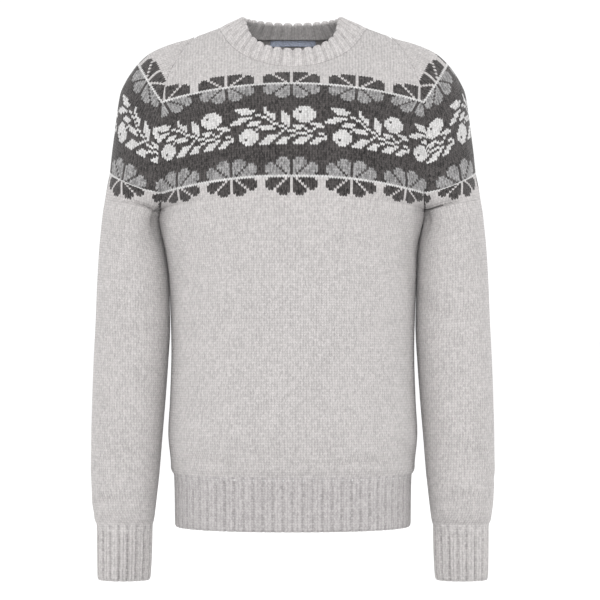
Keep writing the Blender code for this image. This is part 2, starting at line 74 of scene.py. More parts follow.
# Half of each row of the front, from the centre line to the side seam or armhole
# row, centre z, centre depth, edge x, edge depth, edge z, edge turn in degrees, centre and edge roundness
FRONT = np.array((
    (-22.0, -0.6715, 0.1160, 0.1585, 0.0000, -0.6710, 90, 0.62, 0.46),
    (-20.5, -0.6665, 0.1180, 0.1603, 0.0000, -0.6660, 90, 0.62, 0.46),
    (-11.0, -0.6340, 0.1180, 0.1606, 0.0000, -0.6335, 90, 0.62, 0.46),
    (-1.0, -0.6005, 0.1185, 0.1615, 0.0000, -0.6000, 90, 0.62, 0.46),
    (0.0, -0.5975, 0.1195, 0.1625, 0.0000, -0.5970, 90, 0.62, 0.46),
    (3.0, -0.5875, 0.1265, 0.1662, 0.0000, -0.5880, 90, 0.62, 0.46),
    (9.0, -0.5674, 0.1305, 0.1680, 0.0000, -0.5680, 90, 0.62, 0.46),
    (16.0, -0.5440, 0.1310, 0.1684, 0.0000, -0.5450, 90, 0.62, 0.46),
    (30.0, -0.4973, 0.1285, 0.1660, 0.0000, -0.4990, 90, 0.61, 0.46),
    (50.0, -0.4305, 0.1248, 0.1641, 0.0000, -0.4330, 90, 0.60, 0.45),
    (70.0, -0.3637, 0.1228, 0.1658, 0.0000, -0.3670, 90, 0.59, 0.45),
    (88.0, -0.3035, 0.1225, 0.1682, 0.0000, -0.3080, 90, 0.56, 0.46),
    (100.0, -0.2635, 0.1238, 0.1695, 0.0000, -0.2700, 90, 0.51, 0.55),
    (106.0, -0.2434, 0.1249, 0.1700, 0.0000, -0.2520, 90, 0.57, 0.55),
    (110.0, -0.2300, 0.1257, 0.1706, 0.0000, -0.2400, 90, 0.64, 0.52),
    (112.0, -0.2233, 0.1260, 0.1713, 0.0300, -0.2345, 80, 0.58, 0.37),
    (115.0, -0.2132, 0.1264, 0.1722, 0.0505, -0.2270, 68, 0.48, 0.36),
    (119.5, -0.1980, 0.1268, 0.1743, 0.0665, -0.2150, 50, 0.43, 0.32),
    (122.0, -0.1897, 0.1270, 0.1785, 0.0735, -0.2068, 41, 0.41, 0.30),
    (126.0, -0.1765, 0.1270, 0.1803, 0.0785, -0.1955, 34, 0.40, 0.29),
    (131.0, -0.1600, 0.1264, 0.1805, 0.0812, -0.1812, 30, 0.38, 0.29),
    (139.0, -0.1345, 0.1243, 0.1795, 0.0828, -0.1580, 29, 0.38, 0.29),
    (147.0, -0.1095, 0.1198, 0.1778, 0.0810, -0.1345, 28, 0.38, 0.29),
    (152.0, -0.0950, 0.1140, 0.1766, 0.0780, -0.1200, 27, 0.38, 0.29),
    (159.5, -0.0752, 0.1025, 0.1750, 0.0715, -0.0985, 26, 0.38, 0.29),
    (166.0, -0.0595, 0.0895, 0.1722, 0.0635, -0.0780, 24, 0.38, 0.29),
    (172.0, -0.0468, 0.0755, 0.1665, 0.0540, -0.0600, 22, 0.37, 0.30),
    (180.0, -0.0285, 0.0510, 0.1560, 0.0372, -0.0375, 20, 0.36, 0.31),
    (188.0, -0.0050, 0.0230, 0.1435, 0.0150, -0.0168, 12, 0.35, 0.32),
    (193.0, 0.0125, 0.0035, 0.1362, -0.0010, -0.0082, 5, 0.34, 0.33),
    (196.5, 0.0240, -0.0100, 0.1320, -0.0100, -0.0052, 0, 0.33, 0.33),
))

# Half of each row of the back, in the same columns
BACK = np.array((
    (-22.0, -0.6705, 0.1080, 0.1585, 0.0000, -0.6710, 90, 0.62, 0.42),
    (-20.5, -0.6655, 0.1098, 0.1603, 0.0000, -0.6660, 90, 0.62, 0.42),
    (-11.0, -0.6330, 0.1098, 0.1606, 0.0000, -0.6335, 90, 0.62, 0.42),
    (-1.0, -0.5995, 0.1102, 0.1615, 0.0000, -0.6000, 90, 0.62, 0.42),
    (0.0, -0.5965, 0.1110, 0.1625, 0.0000, -0.5970, 90, 0.62, 0.42),
    (3.0, -0.5880, 0.1172, 0.1662, 0.0000, -0.5880, 90, 0.62, 0.42),
    (9.0, -0.5680, 0.1200, 0.1680, 0.0000, -0.5680, 90, 0.62, 0.42),
    (16.0, -0.5450, 0.1195, 0.1684, 0.0000, -0.5450, 90, 0.62, 0.42),
    (30.0, -0.4990, 0.1145, 0.1660, 0.0000, -0.4990, 90, 0.61, 0.41),
    (50.0, -0.4330, 0.1075, 0.1641, 0.0000, -0.4330, 90, 0.60, 0.40),
    (70.0, -0.3670, 0.1035, 0.1658, 0.0000, -0.3670, 90, 0.59, 0.39),
    (88.0, -0.3075, 0.1050, 0.1682, 0.0000, -0.3080, 90, 0.56, 0.41),
    (100.0, -0.2675, 0.1095, 0.1695, 0.0000, -0.2700, 90, 0.51, 0.49),
    (106.0, -0.2475, 0.1120, 0.1700, 0.0000, -0.2520, 90, 0.58, 0.48),
    (110.0, -0.2340, 0.1135, 0.1706, 0.0000, -0.2400, 90, 0.66, 0.46),
    (112.0, -0.2275, 0.1143, 0.1713, 0.0280, -0.2350, 80, 0.58, 0.34),
    (115.0, -0.2177, 0.1152, 0.1723, 0.0475, -0.2280, 68, 0.48, 0.32),
    (119.5, -0.2030, 0.1165, 0.1748, 0.0625, -0.2160, 50, 0.45, 0.28),
    (122.0, -0.1950, 0.1172, 0.1788, 0.0690, -0.2075, 41, 0.43, 0.28),
    (126.0, -0.1820, 0.1182, 0.1808, 0.0735, -0.1960, 34, 0.40, 0.28),
    (131.0, -0.1657, 0.1192, 0.1815, 0.0760, -0.1815, 30, 0.38, 0.28),
    (139.0, -0.1400, 0.1200, 0.1815, 0.0775, -0.1585, 29, 0.38, 0.28),
    (147.0, -0.1147, 0.1192, 0.1800, 0.0765, -0.1350, 28, 0.38, 0.28),
    (152.0, -0.0990, 0.1175, 0.1788, 0.0745, -0.1205, 27, 0.38, 0.28),
    (159.5, -0.0765, 0.1125, 0.1768, 0.0690, -0.0990, 26, 0.38, 0.28),
    (166.0, -0.0580, 0.1060, 0.1735, 0.0630, -0.0785, 24, 0.38, 0.28),
    (172.0, -0.0415, 0.0985, 0.1675, 0.0555, -0.0608, 22, 0.37, 0.29),
    (180.0, -0.0180, 0.0868, 0.1570, 0.0430, -0.0380, 20, 0.36, 0.30),
    (186.0, -0.0010, 0.0750, 0.1472, 0.0325, -0.0220, 17, 0.35, 0.31),
    (190.0, 0.0100, 0.0560, 0.1407, 0.0248, -0.0130, 12, 0.35, 0.32),
    (193.5, 0.0190, 0.0320, 0.1358, 0.0172, -0.0078, 5, 0.34, 0.33),
    (196.5, 0.0240, 0.0100, 0.1320, 0.0100, -0.0052, 0, 0.33, 0.33),
))

# The row where each panel ends, by its share of the way from the centre to the edge
FRONT_TOP = np.array((
    (0.00, 170.0), (0.10, 170.6), (0.20, 172.3), (0.30, 175.0), (0.40, 178.4),
    (0.50, 182.2), (0.60, 186.8), (0.70, 192.6), (NECK_SHARE, SHOULDER), (1.00, SHOULDER),
))
BACK_TOP = np.array((
    (0.00, 186.0), (0.20, 186.3), (0.40, 187.4), (0.55, 189.3), (0.66, 192.3),
    (NECK_SHARE, SHOULDER), (1.00, SHOULDER),
))

# The sleeve above the underarm: each row runs from the front armhole over the shoulder to the back armhole
# body row that it is sewn to, outer x, outer z, outer y, pull away from the body, seam and outer roundness
CAP = np.array((
    (110.0, 0.2545, -0.2220, 0.000, 1.00, 0.94, 0.94),
    (112.0, 0.2535, -0.2147, 0.000, 0.85, 0.68, 0.68),
    (115.0, 0.2515, -0.2040, 0.000, 0.64, 0.51, 0.55),
    (119.5, 0.2482, -0.1880, 0.000, 0.44, 0.43, 0.47),
    (122.0, 0.2472, -0.1785, 0.000, 0.28, 0.42, 0.43),
    (126.0, 0.2455, -0.1633, 0.000, 0.12, 0.42, 0.38),
    (131.0, 0.2430, -0.1442, 0.000, 0.00, 0.43, 0.33),
    (139.0, 0.2390, -0.1137, 0.000, 0.00, 0.42, 0.30),
    (147.0, 0.2343, -0.0835, 0.001, 0.00, 0.42, 0.30),
    (152.0, 0.2268, -0.0662, 0.002, 0.00, 0.42, 0.31),
    (159.5, 0.2102, -0.0422, 0.004, 0.00, 0.41, 0.33),
    (169.0, 0.1915, -0.0262, 0.006, 0.00, 0.40, 0.36),
    (182.0, 0.1610, -0.0135, 0.008, 0.00, 0.39, 0.38),
    (190.5, 0.1425, -0.0085, 0.009, 0.00, 0.38, 0.38),
    (194.3, 0.1327, -0.0053, 0.010, 0.00, 0.36, 0.36),
))

# The sleeve below the underarm, as closed rows
# row, outer x, outer z, inner x, inner z, front depth, back depth, middle y
TUBE = np.array((
    (-44.5, 0.2628, -0.7440, 0.1945, -0.7440, 0.0295, 0.0285, -0.0150),
    (-42.5, 0.2648, -0.7370, 0.1925, -0.7370, 0.0308, 0.0300, -0.0150),
    (-32.0, 0.2655, -0.7020, 0.1905, -0.7020, 0.0315, 0.0305, -0.0145),
    (-22.0, 0.2658, -0.6685, 0.1898, -0.6685, 0.0322, 0.0312, -0.0138),
    (-21.0, 0.2665, -0.6650, 0.1895, -0.6650, 0.0335, 0.0325, -0.0136),
    (-19.0, 0.2685, -0.6590, 0.1885, -0.6590, 0.0372, 0.0362, -0.0132),
    (-14.0, 0.2708, -0.6430, 0.1866, -0.6430, 0.0412, 0.0400, -0.0122),
    (-8.0, 0.2722, -0.6235, 0.1845, -0.6240, 0.0430, 0.0420, -0.0112),
    (0.0, 0.2733, -0.5970, 0.1818, -0.5980, 0.0442, 0.0435, -0.0098),
    (15.0, 0.2730, -0.5460, 0.1778, -0.5480, 0.0465, 0.0462, -0.0078),
    (30.0, 0.2718, -0.4950, 0.1737, -0.4980, 0.0490, 0.0490, -0.0058),
    (45.0, 0.2700, -0.4440, 0.1702, -0.4485, 0.0515, 0.0520, -0.0040),
    (60.0, 0.2675, -0.3930, 0.1676, -0.3995, 0.0545, 0.0550, -0.0028),
    (75.0, 0.2655, -0.3420, 0.1685, -0.3510, 0.0575, 0.0575, -0.0018),
    (88.0, 0.2630, -0.2975, 0.1696, -0.3100, 0.0602, 0.0590, -0.0008),
    (98.0, 0.2600, -0.2635, 0.1708, -0.2785, 0.0622, 0.0600, 0.0000),
    (104.0, 0.2578, -0.2427, 0.1714, -0.2590, 0.0628, 0.0602, 0.0000),
    (110.0, 0.2545, -0.2220, 0.1706, -0.2400, 0.0625, 0.0600, 0.0000),
))

# The top edge of the collar round the neck: turn from the centre front in degrees, reach, height
COLLAR_TOP = np.array((
    (0, 0.0660, -0.0262), (25, 0.0665, -0.0225), (40, 0.0672, -0.0155), (55, 0.0682, -0.0060),
    (70, 0.0692, 0.0078), (90, 0.0695, 0.0192), (120, 0.0675, 0.0215), (150, 0.0640, 0.0200),
    (180, 0.0622, 0.0190),
))

# Real rows of the sleeve's cap, and the body rows that they are sewn to
CAP_ROWS = np.array((
    (110.0, 110.0), (159.5, 159.5), (166.0, 169.0), (175.0, 182.0), (181.0, 190.5), (184.5, 194.3),
))

# First and last rows of stitches
BODY_ROWS = (0, 197)
SLEEVE_ROWS = (-21, 184)
# Half the wales of a panel at the underarm
FRONT_WALES = 67
BACK_WALES = 65
# Width of a stitch above the underarm: row, metres
BODY_STITCH = np.array(((119.5, 0.00364), (159.5, 0.00399), (200.0, 0.00399)))
SLEEVE_STITCH = np.array(((-50.0, 0.0037), (119.5, 0.0037), (159.5, 0.0038), (200.0, 0.0038)))

# Where a panel's outer wales widen or close up: wale, bend, and the rows where it starts, holds and ends
FRONT_EASE = (14.0, -0.0026, (120.0, 130.0, 150.0, 159.0))
SLEEVE_EASE = (14.0, 0.0087, (104.0, 122.0, 300.0, 301.0))
# The front's wales sit this much to a side, in stitches
FRONT_SHIFT = -0.4

# Ribs of each band, and the stitches round one: share of the rib, wale, height, lean in rows
HEM_RIBS = 34
CUFF_RIBS = 18
COLLAR_RIBS = 36
RIB_STITCHES = np.array((
    (0.000, 0.00, 0.00, 0.0), (0.155, 0.50, 0.55, 0.3), (0.241, 0.75, 1.00, 0.0), (0.3275, 1.00, 0.80, -0.3),
    (0.414, 1.25, 1.00, 0.0), (0.500, 1.50, 0.62, 0.3), (0.586, 1.75, 1.00, 0.0), (0.6725, 2.00, 0.80, -0.3),
    (0.759, 2.25, 1.00, 0.0), (0.845, 2.50, 0.55, 0.3),
))
# Rows at the middle of the hem rib and of the cuff
HEM_MIDDLE = -11.0
CUFF_MIDDLE = -32.0
# Columns of one plain wale: height and lean in rows, from the hollow between two wales
WALE_STITCHES = np.array(((0.0, 0.3), (1.0, 0.0), (0.35, -0.3), (1.0, 0.0)))

# Yarns of the band
LIGHT, CHARCOAL, GREY, WHITE = range(4)

# Half a flower's stitches from its tip to its middle, rows going away from the white line
FLOWER_PERIOD = 22
LOW_PETALS = (
    ".DDDDDD.D",
    "DDDDDD.DD",
    "DDDDD.DDD",
    "DDDD.DDDD",
    ".DD.DDDDD",
    "....DDDDD",
    ".....DDD.",
)
HIGH_PETALS = (
    "DDDDDDD.D",
    "DDDDDD.DD",
    "DDDDD.DDD",
    "DDDD.DDDD",
    ".DD.DDDDD",
    "....DDDDD",
)
# first row, step, petals, yarn
PETAL_ROWS = (
    (118, -1, LOW_PETALS, CHARCOAL),
    (120, 1, LOW_PETALS, GREY),
    (158, -1, LOW_PETALS, GREY),
    (160, 1, HIGH_PETALS, CHARCOAL),
)
LINE_ROWS = (119, 159)
BAND_ROWS = (120, 158)

# The vine's leaves and berries, from its top row down
VINE_PERIOD = 33
VINE_TOP_ROW = 147
VINE = (
    "..#####.....#...........####.....",
    "...######...#..........######....",
    "....####....##....#...##.#####...",
    ".........##..###..##..########...",
    "...#####...##.##..###.########...",
    ".#####.......#.#..###..######....",
    "####...####...#...###...####.....",
    "......####.....##..##.......####.",
    "..........#####..##.#.####....###",
    ".....###.#.#####...#...##.#..#...",
    "....#####.........#.###....##....",
    "...#######.......#.....####....##",
    "#..#######...####....##....##....",
    "#..##.####..####..###...####..###",
    "....#####..####..###...####..###.",
    ".....###..####..####..####..###..",
)
# The wales where a flower's middle and the vine's first column fall on each panel
BAND_PLACES = {
    "front": (0, -21),
    "back": (0, -21),
    "sleeve_left": (16, 5),
    "sleeve_right": (-17, -18),
}

# Creases: row, wale, half length, half width, depth (below 0 is a ridge), turn from the level in degrees, bow
CREASES = {
    "front": (
        (6.5, -41, 0.052, 0.0075, 0.0030, 7, 0.8),
        (9.0, -9, 0.060, 0.0080, 0.0022, -5, -0.6),
        (5.5, 26, 0.046, 0.0065, 0.0026, 4, 0.9),
        (11.0, 50, 0.038, 0.0080, 0.0028, -12, 0.5),
        (99.0, -58, 0.060, 0.0140, 0.0020, 62, 0.8),
        (97.0, 57, 0.066, 0.0130, 0.0020, -60, -0.7),
        (88.0, 52, 0.070, 0.0140, 0.0016, -64, 0.5),
        (84.0, -50, 0.078, 0.0150, 0.0017, 66, -0.5),
    ),
    "back": (
        (7.0, -34, 0.055, 0.0078, 0.0028, -6, 0.7),
        (10.5, 4, 0.050, 0.0080, 0.0022, 6, -0.8),
        (6.0, 39, 0.048, 0.0070, 0.0030, -4, 0.6),
        (100.0, -59, 0.064, 0.0110, 0.0030, 56, 0.7),
        (102.0, 60, 0.058, 0.0110, 0.0028, -58, -0.8),
        (148.0, -24, 0.070, 0.0160, 0.0018, 38, 0.4),
        (150.0, 27, 0.066, 0.0160, 0.0016, -36, -0.4),
        (58.0, 8, 0.090, 0.0200, 0.0016, 12, 0.3),
    ),
    "sleeve_left": (
        (108.0, 36, 0.026, 0.0085, 0.0045, 105, 0.0),
        (-11.0, 12, 0.036, 0.0065, 0.0030, 9, 0.9),
        (-4.0, -14, 0.034, 0.0070, 0.0026, -12, -0.8),
        (7.0, 17, 0.036, 0.0080, 0.0022, 16, 0.7),
        (56.0, 20, 0.040, 0.0090, 0.0026, 24, 0.9),
        (66.0, 24, 0.036, 0.0085, 0.0024, 14, -0.7),
        (61.0, -22, 0.038, 0.0095, 0.0022, -20, 0.7),
        (96.0, 30, 0.050, 0.0150, 0.0014, 62, 0.6),
        (97.0, -30, 0.048, 0.0150, 0.0013, -60, -0.6),
    ),
    "sleeve_right": (
        (106.0, -37, 0.022, 0.0080, 0.0040, 85, 0.0),
        (-9.5, -15, 0.035, 0.0068, 0.0030, -7, 0.8),
        (-3.0, 11, 0.033, 0.0070, 0.0026, 14, -0.9),
        (10.0, -16, 0.038, 0.0080, 0.0022, -18, 0.6),
        (53.0, -22, 0.038, 0.0090, 0.0026, -22, 0.9),
        (64.0, -25, 0.040, 0.0085, 0.0024, -12, -0.7),
        (59.0, 21, 0.036, 0.0095, 0.0022, 22, 0.7),
        (95.0, -30, 0.048, 0.0150, 0.0014, -61, 0.6),
        (98.0, 31, 0.050, 0.0150, 0.0013, 63, -0.6),
    ),
}

# Folds that push the cloth outward in front of each underarm: side, height, reach up and down, half width, push
UNDERARM_FOLDS = ((-1, -0.254, 0.028, 0.050, 0.030, 0.012), (1, -0.243, 0.022, 0.030, 0.022, 0.008))

UNDERARM_X = 0.172
# The yoke's droop at the front: height, reach, droop at the centre and what the sides add
YOKE_DROOP = (-0.215, 0.055, 0.0012, 0.0036)
# The body draws in above its rib: heights where that starts and holds; share, height, reach for width and depth
ABOVE_RIB = (-0.5975, -0.5855)
WAIST_TRIM = ((0.013, -0.578, 0.020), (0.026, -0.583, 0.014))

# The doubled collar: rows up one side, half its thickness, lap under the neckline, depth of its grooves
COLLAR_ROWS = 11.0
COLLAR_HALF = 0.0038
COLLAR_LAP = 0.0012
COLLAR_GROOVE = 0.0026
COLLAR_FOLD_GROOVE = 0.0008
COLLAR_TOP_DROP = 0.0042

# The label: lowest row and rows tall, share of the back's width, flat size
LABEL_ROWS = (182.45, 3.05)
LABEL_SHARE = 0.4
LABEL_FLAT = (0.064, 0.0101)

# How far the yarn's plies stand up, and how strongly the painted shade of the hollows and the flecks show in
# each yarn
PLY = 0.10
YARN_CONTRAST = (0.3, 1.0, 0.75, 0.4)

# Stage
FLOOR_HEIGHT = -0.80
CAMERA_PLACE = (0.0098, -4.2, -0.363)
VIEW_WIDTH = 0.816
SENSOR = 36.0


def smooth_columns(table):
    """A function that gives a table's columns at any row, on a curve that never overshoots its rows."""
    knots = table[:, 0]
    steps = np.diff(knots)
    rises = np.diff(table[:, 1:], axis=0) / steps[:, None]
    slopes = np.zeros_like(table[:, 1:])
    slopes[0] = rises[0]
    slopes[-1] = rises[-1]
    turning = rises[:-1] * rises[1:] > 0
    safe = np.where(turning, rises[:-1] + rises[1:], 1.0)
    slopes[1:-1] = np.where(turning, 2.0 * rises[:-1] * rises[1:] / safe, 0.0)

    def at(row):
        k = int(np.clip(np.searchsorted(knots, row) - 1, 0, len(steps) - 1))
        s = (row - knots[k]) / steps[k]
        ends = (2 * s**3 - 3 * s**2 + 1) * table[k, 1:] + (3 * s**2 - 2 * s**3) * table[k + 1, 1:]
        pulls = (s**3 - 2 * s**2 + s) * slopes[k] + (s**3 - s**2) * slopes[k + 1]
        return ends + pulls * steps[k]

    return at


front_at = smooth_columns(FRONT)
back_at = smooth_columns(BACK)
cap_at = smooth_columns(CAP)
tube_at = smooth_columns(TUBE)
collar_top_at = smooth_columns(COLLAR_TOP)


def top_curve(table):
    """The row where a panel ends, at any share of its half width."""
    at = smooth_columns(table)
    shares = np.linspace(0.0, 1.0, 401)
    rows = np.array([at(s)[0] for s in shares])
    return lambda share: np.interp(np.abs(share), shares, rows)


def bezier(start, pull_start, pull_end, end, samples=48):
    s = np.linspace(0.0, 1.0, samples)[:, None]
    return (
        (1 - s) ** 3 * start
        + 3 * (1 - s) ** 2 * s * pull_start
        + 3 * (1 - s) * s**2 * pull_end
        + s**3 * end
    )


def line_lengths(line):
    return np.concatenate([[0.0], np.cumsum(np.linalg.norm(np.diff(line, axis=0), axis=1))])


def spaced(line, shares):
    """Points at these shares of a line's own length."""
    lengths = line_lengths(line)
    wanted = np.asarray(shares) * lengths[-1]
    return np.stack([np.interp(wanted, lengths, line[:, k]) for k in range(3)], axis=1)


def unit(vector):
    return vector / np.linalg.norm(vector, axis=-1, keepdims=True)


def body_edge(facing, row):
    """The end of a body row on the +X side, and the way that the cloth runs there; facing -1 is the front."""
    mid_z, _, edge_x, edge_depth, edge_z, turn, _, _ = (front_at if facing < 0 else back_at)(row)
    angle = math.radians(turn)
    droop = 2.0 * (edge_z - mid_z) / edge_x if turn < 89.0 else 0.0
    way = unit(np.array((math.cos(angle), -facing * math.sin(angle), droop)))
    return np.array((edge_x, facing * edge_depth, edge_z)), way


def body_line(facing, row):
    """Half a row of the front or back, from the centre line to its edge on the +X side."""
    mid_z, mid_depth, edge_x, _, _, _, mid_round, edge_round = (front_at if facing < 0 else back_at)(row)
    middle = np.array((0.0, facing * mid_depth, mid_z))
    edge, way = body_edge(facing, row)
    return bezier(
        middle,
        middle + np.array((mid_round * edge_x, 0.0, 0.0)),
        edge - edge_round * edge_x * way,
        edge,
    )


def armhole_way(facing, row):
    return unit(body_edge(facing, row + 0.5)[0] - body_edge(facing, row - 0.5)[0])


def cap_half(facing, row):
    """Half a row of the sleeve's cap on the +X side, from its armhole to the outer line of the sleeve."""
    out_x, out_z, out_y, away, seam_round, out_round = cap_at(row)
    seam, way = body_edge(facing, row)
    outer = np.array((out_x, out_y, out_z))
    reach = np.linalg.norm(outer - seam)
    along = armhole_way(facing, row)
    across = unit(way - along * np.dot(way, along))
    toward = outer - seam
    smooth = unit(across * max(np.dot(toward, across), 0.5 * reach) + along * np.dot(toward, along))
    start_way = unit((1.0 - away) * smooth + away * np.array((0.0, facing, 0.0)))
    return bezier(
        seam,
        seam + seam_round * reach * start_way,
        outer + out_round * reach * np.array((0.0, facing, 0.0)),
        outer,
    )


def tube_half(facing, row):
    """Half a closed row of the sleeve on the +X side, from the underarm line to the outer line."""
    out_x, out_z, in_x, in_z, front_depth, back_depth, middle = tube_at(row)
    depth = front_depth if facing < 0 else back_depth
    inner = np.array((in_x, middle, in_z))
    outer = np.array((out_x, middle, out_z))
    pull = np.array((0.0, facing * depth * 4.0 / 3.0, 0.0))
    return bezier(inner, inner + pull, outer + pull, outer)


class Form:
    """A panel's surface, surveyed on every half row, from share -1 at one edge to 1 at the other."""

    STEP = 0.5
    HALF_COLUMNS = 96

    def __init__(self, first_row, last_row, halves, facing=0):
        """halves gives a row's two half lines from their edges to the middle line."""
        self.rows = np.arange(first_row, last_row + 0.25 * self.STEP, self.STEP)
        shares = np.linspace(0.0, 1.0, self.HALF_COLUMNS + 1)
        points, lengths = [], []
        for row in self.rows:
            low, high = halves(row)
            points.append(np.concatenate([spaced(low, shares), spaced(high, shares)[-2::-1]]))
            lengths.append((line_lengths(low)[-1], line_lengths(high)[-1]))
        self.points = np.array(points)
        self.lengths = np.array(lengths)
        across = np.gradient(self.points, axis=1)
        up = np.gradient(self.points, axis=0)
        normals = unit(np.cross(across, up)) * (-1.0 if facing > 0 else 1.0)
        if not facing:
            closed = self.rows <= UNDERARM
            normals[closed, 0] = normals[closed, -1] = unit(normals[closed, 0] + normals[closed, -1])
        self.normals = normals

    def length(self, rows, side):
        """Half widths of these rows, on the side that side's sign says."""
        low = np.interp(rows, self.rows, self.lengths[:, 0])
        high = np.interp(rows, self.rows, self.lengths[:, 1])
        return np.where(side < 0, low, high)

    def place(self, rows, shares):
        """Points and outward normals at these rows and shares."""
        i = np.clip((rows - self.rows[0]) / self.STEP, 0.0, len(self.rows) - 1.001)
        j = np.clip((shares + 1.0) * self.HALF_COLUMNS, 0.0, 2 * self.HALF_COLUMNS - 1e-6)
        i0, j0 = i.astype(int), j.astype(int)
        a, b = (i - i0)[..., None], (j - j0)[..., None]

        def at(grid):
            return (
                grid[i0, j0] * (1 - a) * (1 - b)
                + grid[i0 + 1, j0] * a * (1 - b)
                + grid[i0, j0 + 1] * (1 - a) * b
                + grid[i0 + 1, j0 + 1] * a * b
            )

        return at(self.points), unit(at(self.normals))


def mirror_x(line):
    return line * np.array((-1.0, 1.0, 1.0))


def body_halves(facing):
    def halves(row):
        line = body_line(facing, row)[::-1]
        return mirror_x(line), line

    return halves


def sleeve_halves(row):
    half = cap_half if row > UNDERARM else tube_half
    return half(-1, row), half(1, row)


front_form = Form(HEM_EDGE, SHOULDER, body_halves(-1), facing=-1)
back_form = Form(HEM_EDGE, SHOULDER, body_halves(1), facing=1)
sleeve_form = Form(CUFF_EDGE, CAP_TOP + 0.2, sleeve_halves)


def stitch_widths(knots, form, wales=0):
    """The width of a stitch at any row; where wales is given, rows up to the underarm share that many out."""

    def at(rows):
        width = np.interp(rows, knots[:, 0], knots[:, 1])
        if wales:
            join = form.length(UNDERARM, 1) / wales
            share = (rows - UNDERARM) / (knots[0, 0] - UNDERARM)
            width = np.where(share < 1, join + (knots[0, 1] - join) * share, width)
            width = np.where(share <= 0, form.length(rows, 1) / wales, width)
        return width

    return at


class Panel:
    """A knitted panel: its form and rows, where it ends and how its wales run on it."""

    def __init__(self, name, form, rows, stitch, turn=1, top=None, ease=None, shift=0.0, mirror=False):
        self.name, self.form, self.stitch, self.turn, self.top = name, form, stitch, turn, top
        self.first_row, self.last_row = rows
        self.foot = HEM_TOP if top else CUFF_TOP
        self.ease, self.shift, self.mirror = ease, shift, mirror

    def body_rows(self, rows):
        """Rows of the form for these rows of stitches."""
        if self.top:
            return rows
        return np.where(rows > UNDERARM, np.interp(rows, CAP_ROWS[:, 0], CAP_ROWS[:, 1]), rows)

    def half_width(self, rows, side):
        """Length of these rows of stitches from the middle to the edge on a side."""
        return self.form.length(self.body_rows(rows), side)

    def bend(self, wales, rows):
        """How many stitches the easing moves a wale."""
        if not self.ease:
            return 0.0
        start, bend, knots = self.ease
        over = np.maximum(np.abs(wales) - start, 0.0)
        return np.sign(wales) * bend * over**2 * np.interp(rows, knots, (0.0, 1.0, 1.0, 0.0))

    def shares(self, wales, rows):
        """Shares of the half width where these wales lie."""
        placed = (wales + self.shift + self.bend(wales, rows)) * self.turn
        return placed * self.stitch(rows) / self.half_width(rows, placed)

    def wales_at(self, shares, rows):
        """The wale at a share of a row, which is shares the other way round."""
        placed = shares * self.turn * self.half_width(rows, shares) / self.stitch(rows) - self.shift
        wales = placed
        for _ in range(12):
            wales = 0.5 * (wales + placed - self.bend(wales, rows))
        return wales

    def half_wales(self):
        """Wales that reach from the middle past the widest row's edge."""
        rows = np.arange(self.first_row, self.last_row)
        widest = max((self.half_width(rows, side) / self.stitch(rows)).max() for side in (-1, 1))
        spare = 3 if self.ease and self.ease[1] < 0 else 1
        return int(math.ceil(widest)) + spare


def make_panels():
    sleeve_stitch = stitch_widths(SLEEVE_STITCH, sleeve_form)
    return {
        "front": Panel(
            "front", front_form, BODY_ROWS, stitch_widths(BODY_STITCH, front_form, FRONT_WALES),
            top=top_curve(FRONT_TOP), ease=FRONT_EASE, shift=FRONT_SHIFT,
        ),
        "back": Panel(
            "back", back_form, BODY_ROWS, stitch_widths(BODY_STITCH, back_form, BACK_WALES),
            turn=-1, top=top_curve(BACK_TOP),
        ),
        "sleeve_left": Panel(
            "sleeve_left", sleeve_form, SLEEVE_ROWS, sleeve_stitch, turn=-1, ease=SLEEVE_EASE, mirror=True,
        ),
        "sleeve_right": Panel("sleeve_right", sleeve_form, SLEEVE_ROWS, sleeve_stitch, ease=SLEEVE_EASE),
    }


PANELS = make_panels()


def band_yarn(name, wales, rows):
    """The yarn of each stitch of a panel."""
    flower, vine = BAND_PLACES[name]
    yarn = np.full(wales.shape, LIGHT)
    yarn[(rows >= BAND_ROWS[0]) & (rows <= BAND_ROWS[1])] = CHARCOAL
    half = FLOWER_PERIOD // 2
    across = np.abs((wales - flower + half) % FLOWER_PERIOD - half)
    for first, step, petals, colour in PETAL_ROWS:
        for k, line in enumerate(petals):
            for column, mark in enumerate(line):
                if mark == "D":
                    yarn[(rows == first + k * step) & (across == len(line) - column)] = colour
    column = (wales - vine) % VINE_PERIOD
    for k, line in enumerate(VINE):
        marked = np.array([mark == "#" for mark in line])
        yarn[(rows == VINE_TOP_ROW - k) & marked[column]] = WHITE
    for row in LINE_ROWS:
        yarn[rows == row] = WHITE
    return yarn


def eased(values, start, end):
    """From 0 at start to 1 at end, smoothly."""
    share = np.clip((values - start) / (end - start), 0.0, 1.0)
    return share**2 * (3.0 - 2.0 * share)


def swell(values, middle, reach):
    """1 at the middle, fading away over a couple of reaches."""
    return np.exp(-(((values - middle) / reach) ** 2))


def settle(points, body):
    """Lets the cloth at the underarms hang, body and sleeve alike, and draws the body in above its rib."""
    x, y, z = points.T
    toward_front = eased(y, 0.03, -0.03)
    moved = x.copy()
    for side, height, above, below, wide, push in UNDERARM_FOLDS:
        near = swell(z, height, np.where(z > height, above, below)) * swell(side * x, UNDERARM_X, wide)
        moved += side * push * near * toward_front
    middle, reach, centre, aside = YOKE_DROOP
    z = z - (centre + aside * eased(np.abs(x), 0.04, 0.16)) * swell(z, middle, reach) * toward_front
    if body:
        over_rib = eased(z, *ABOVE_RIB)
        for line, (share, middle, reach) in ((moved, WAIST_TRIM[0]), (y, WAIST_TRIM[1])):
            line *= 1.0 - share * over_rib * swell(z, middle, reach)
    return np.stack([moved, y, z], axis=1)


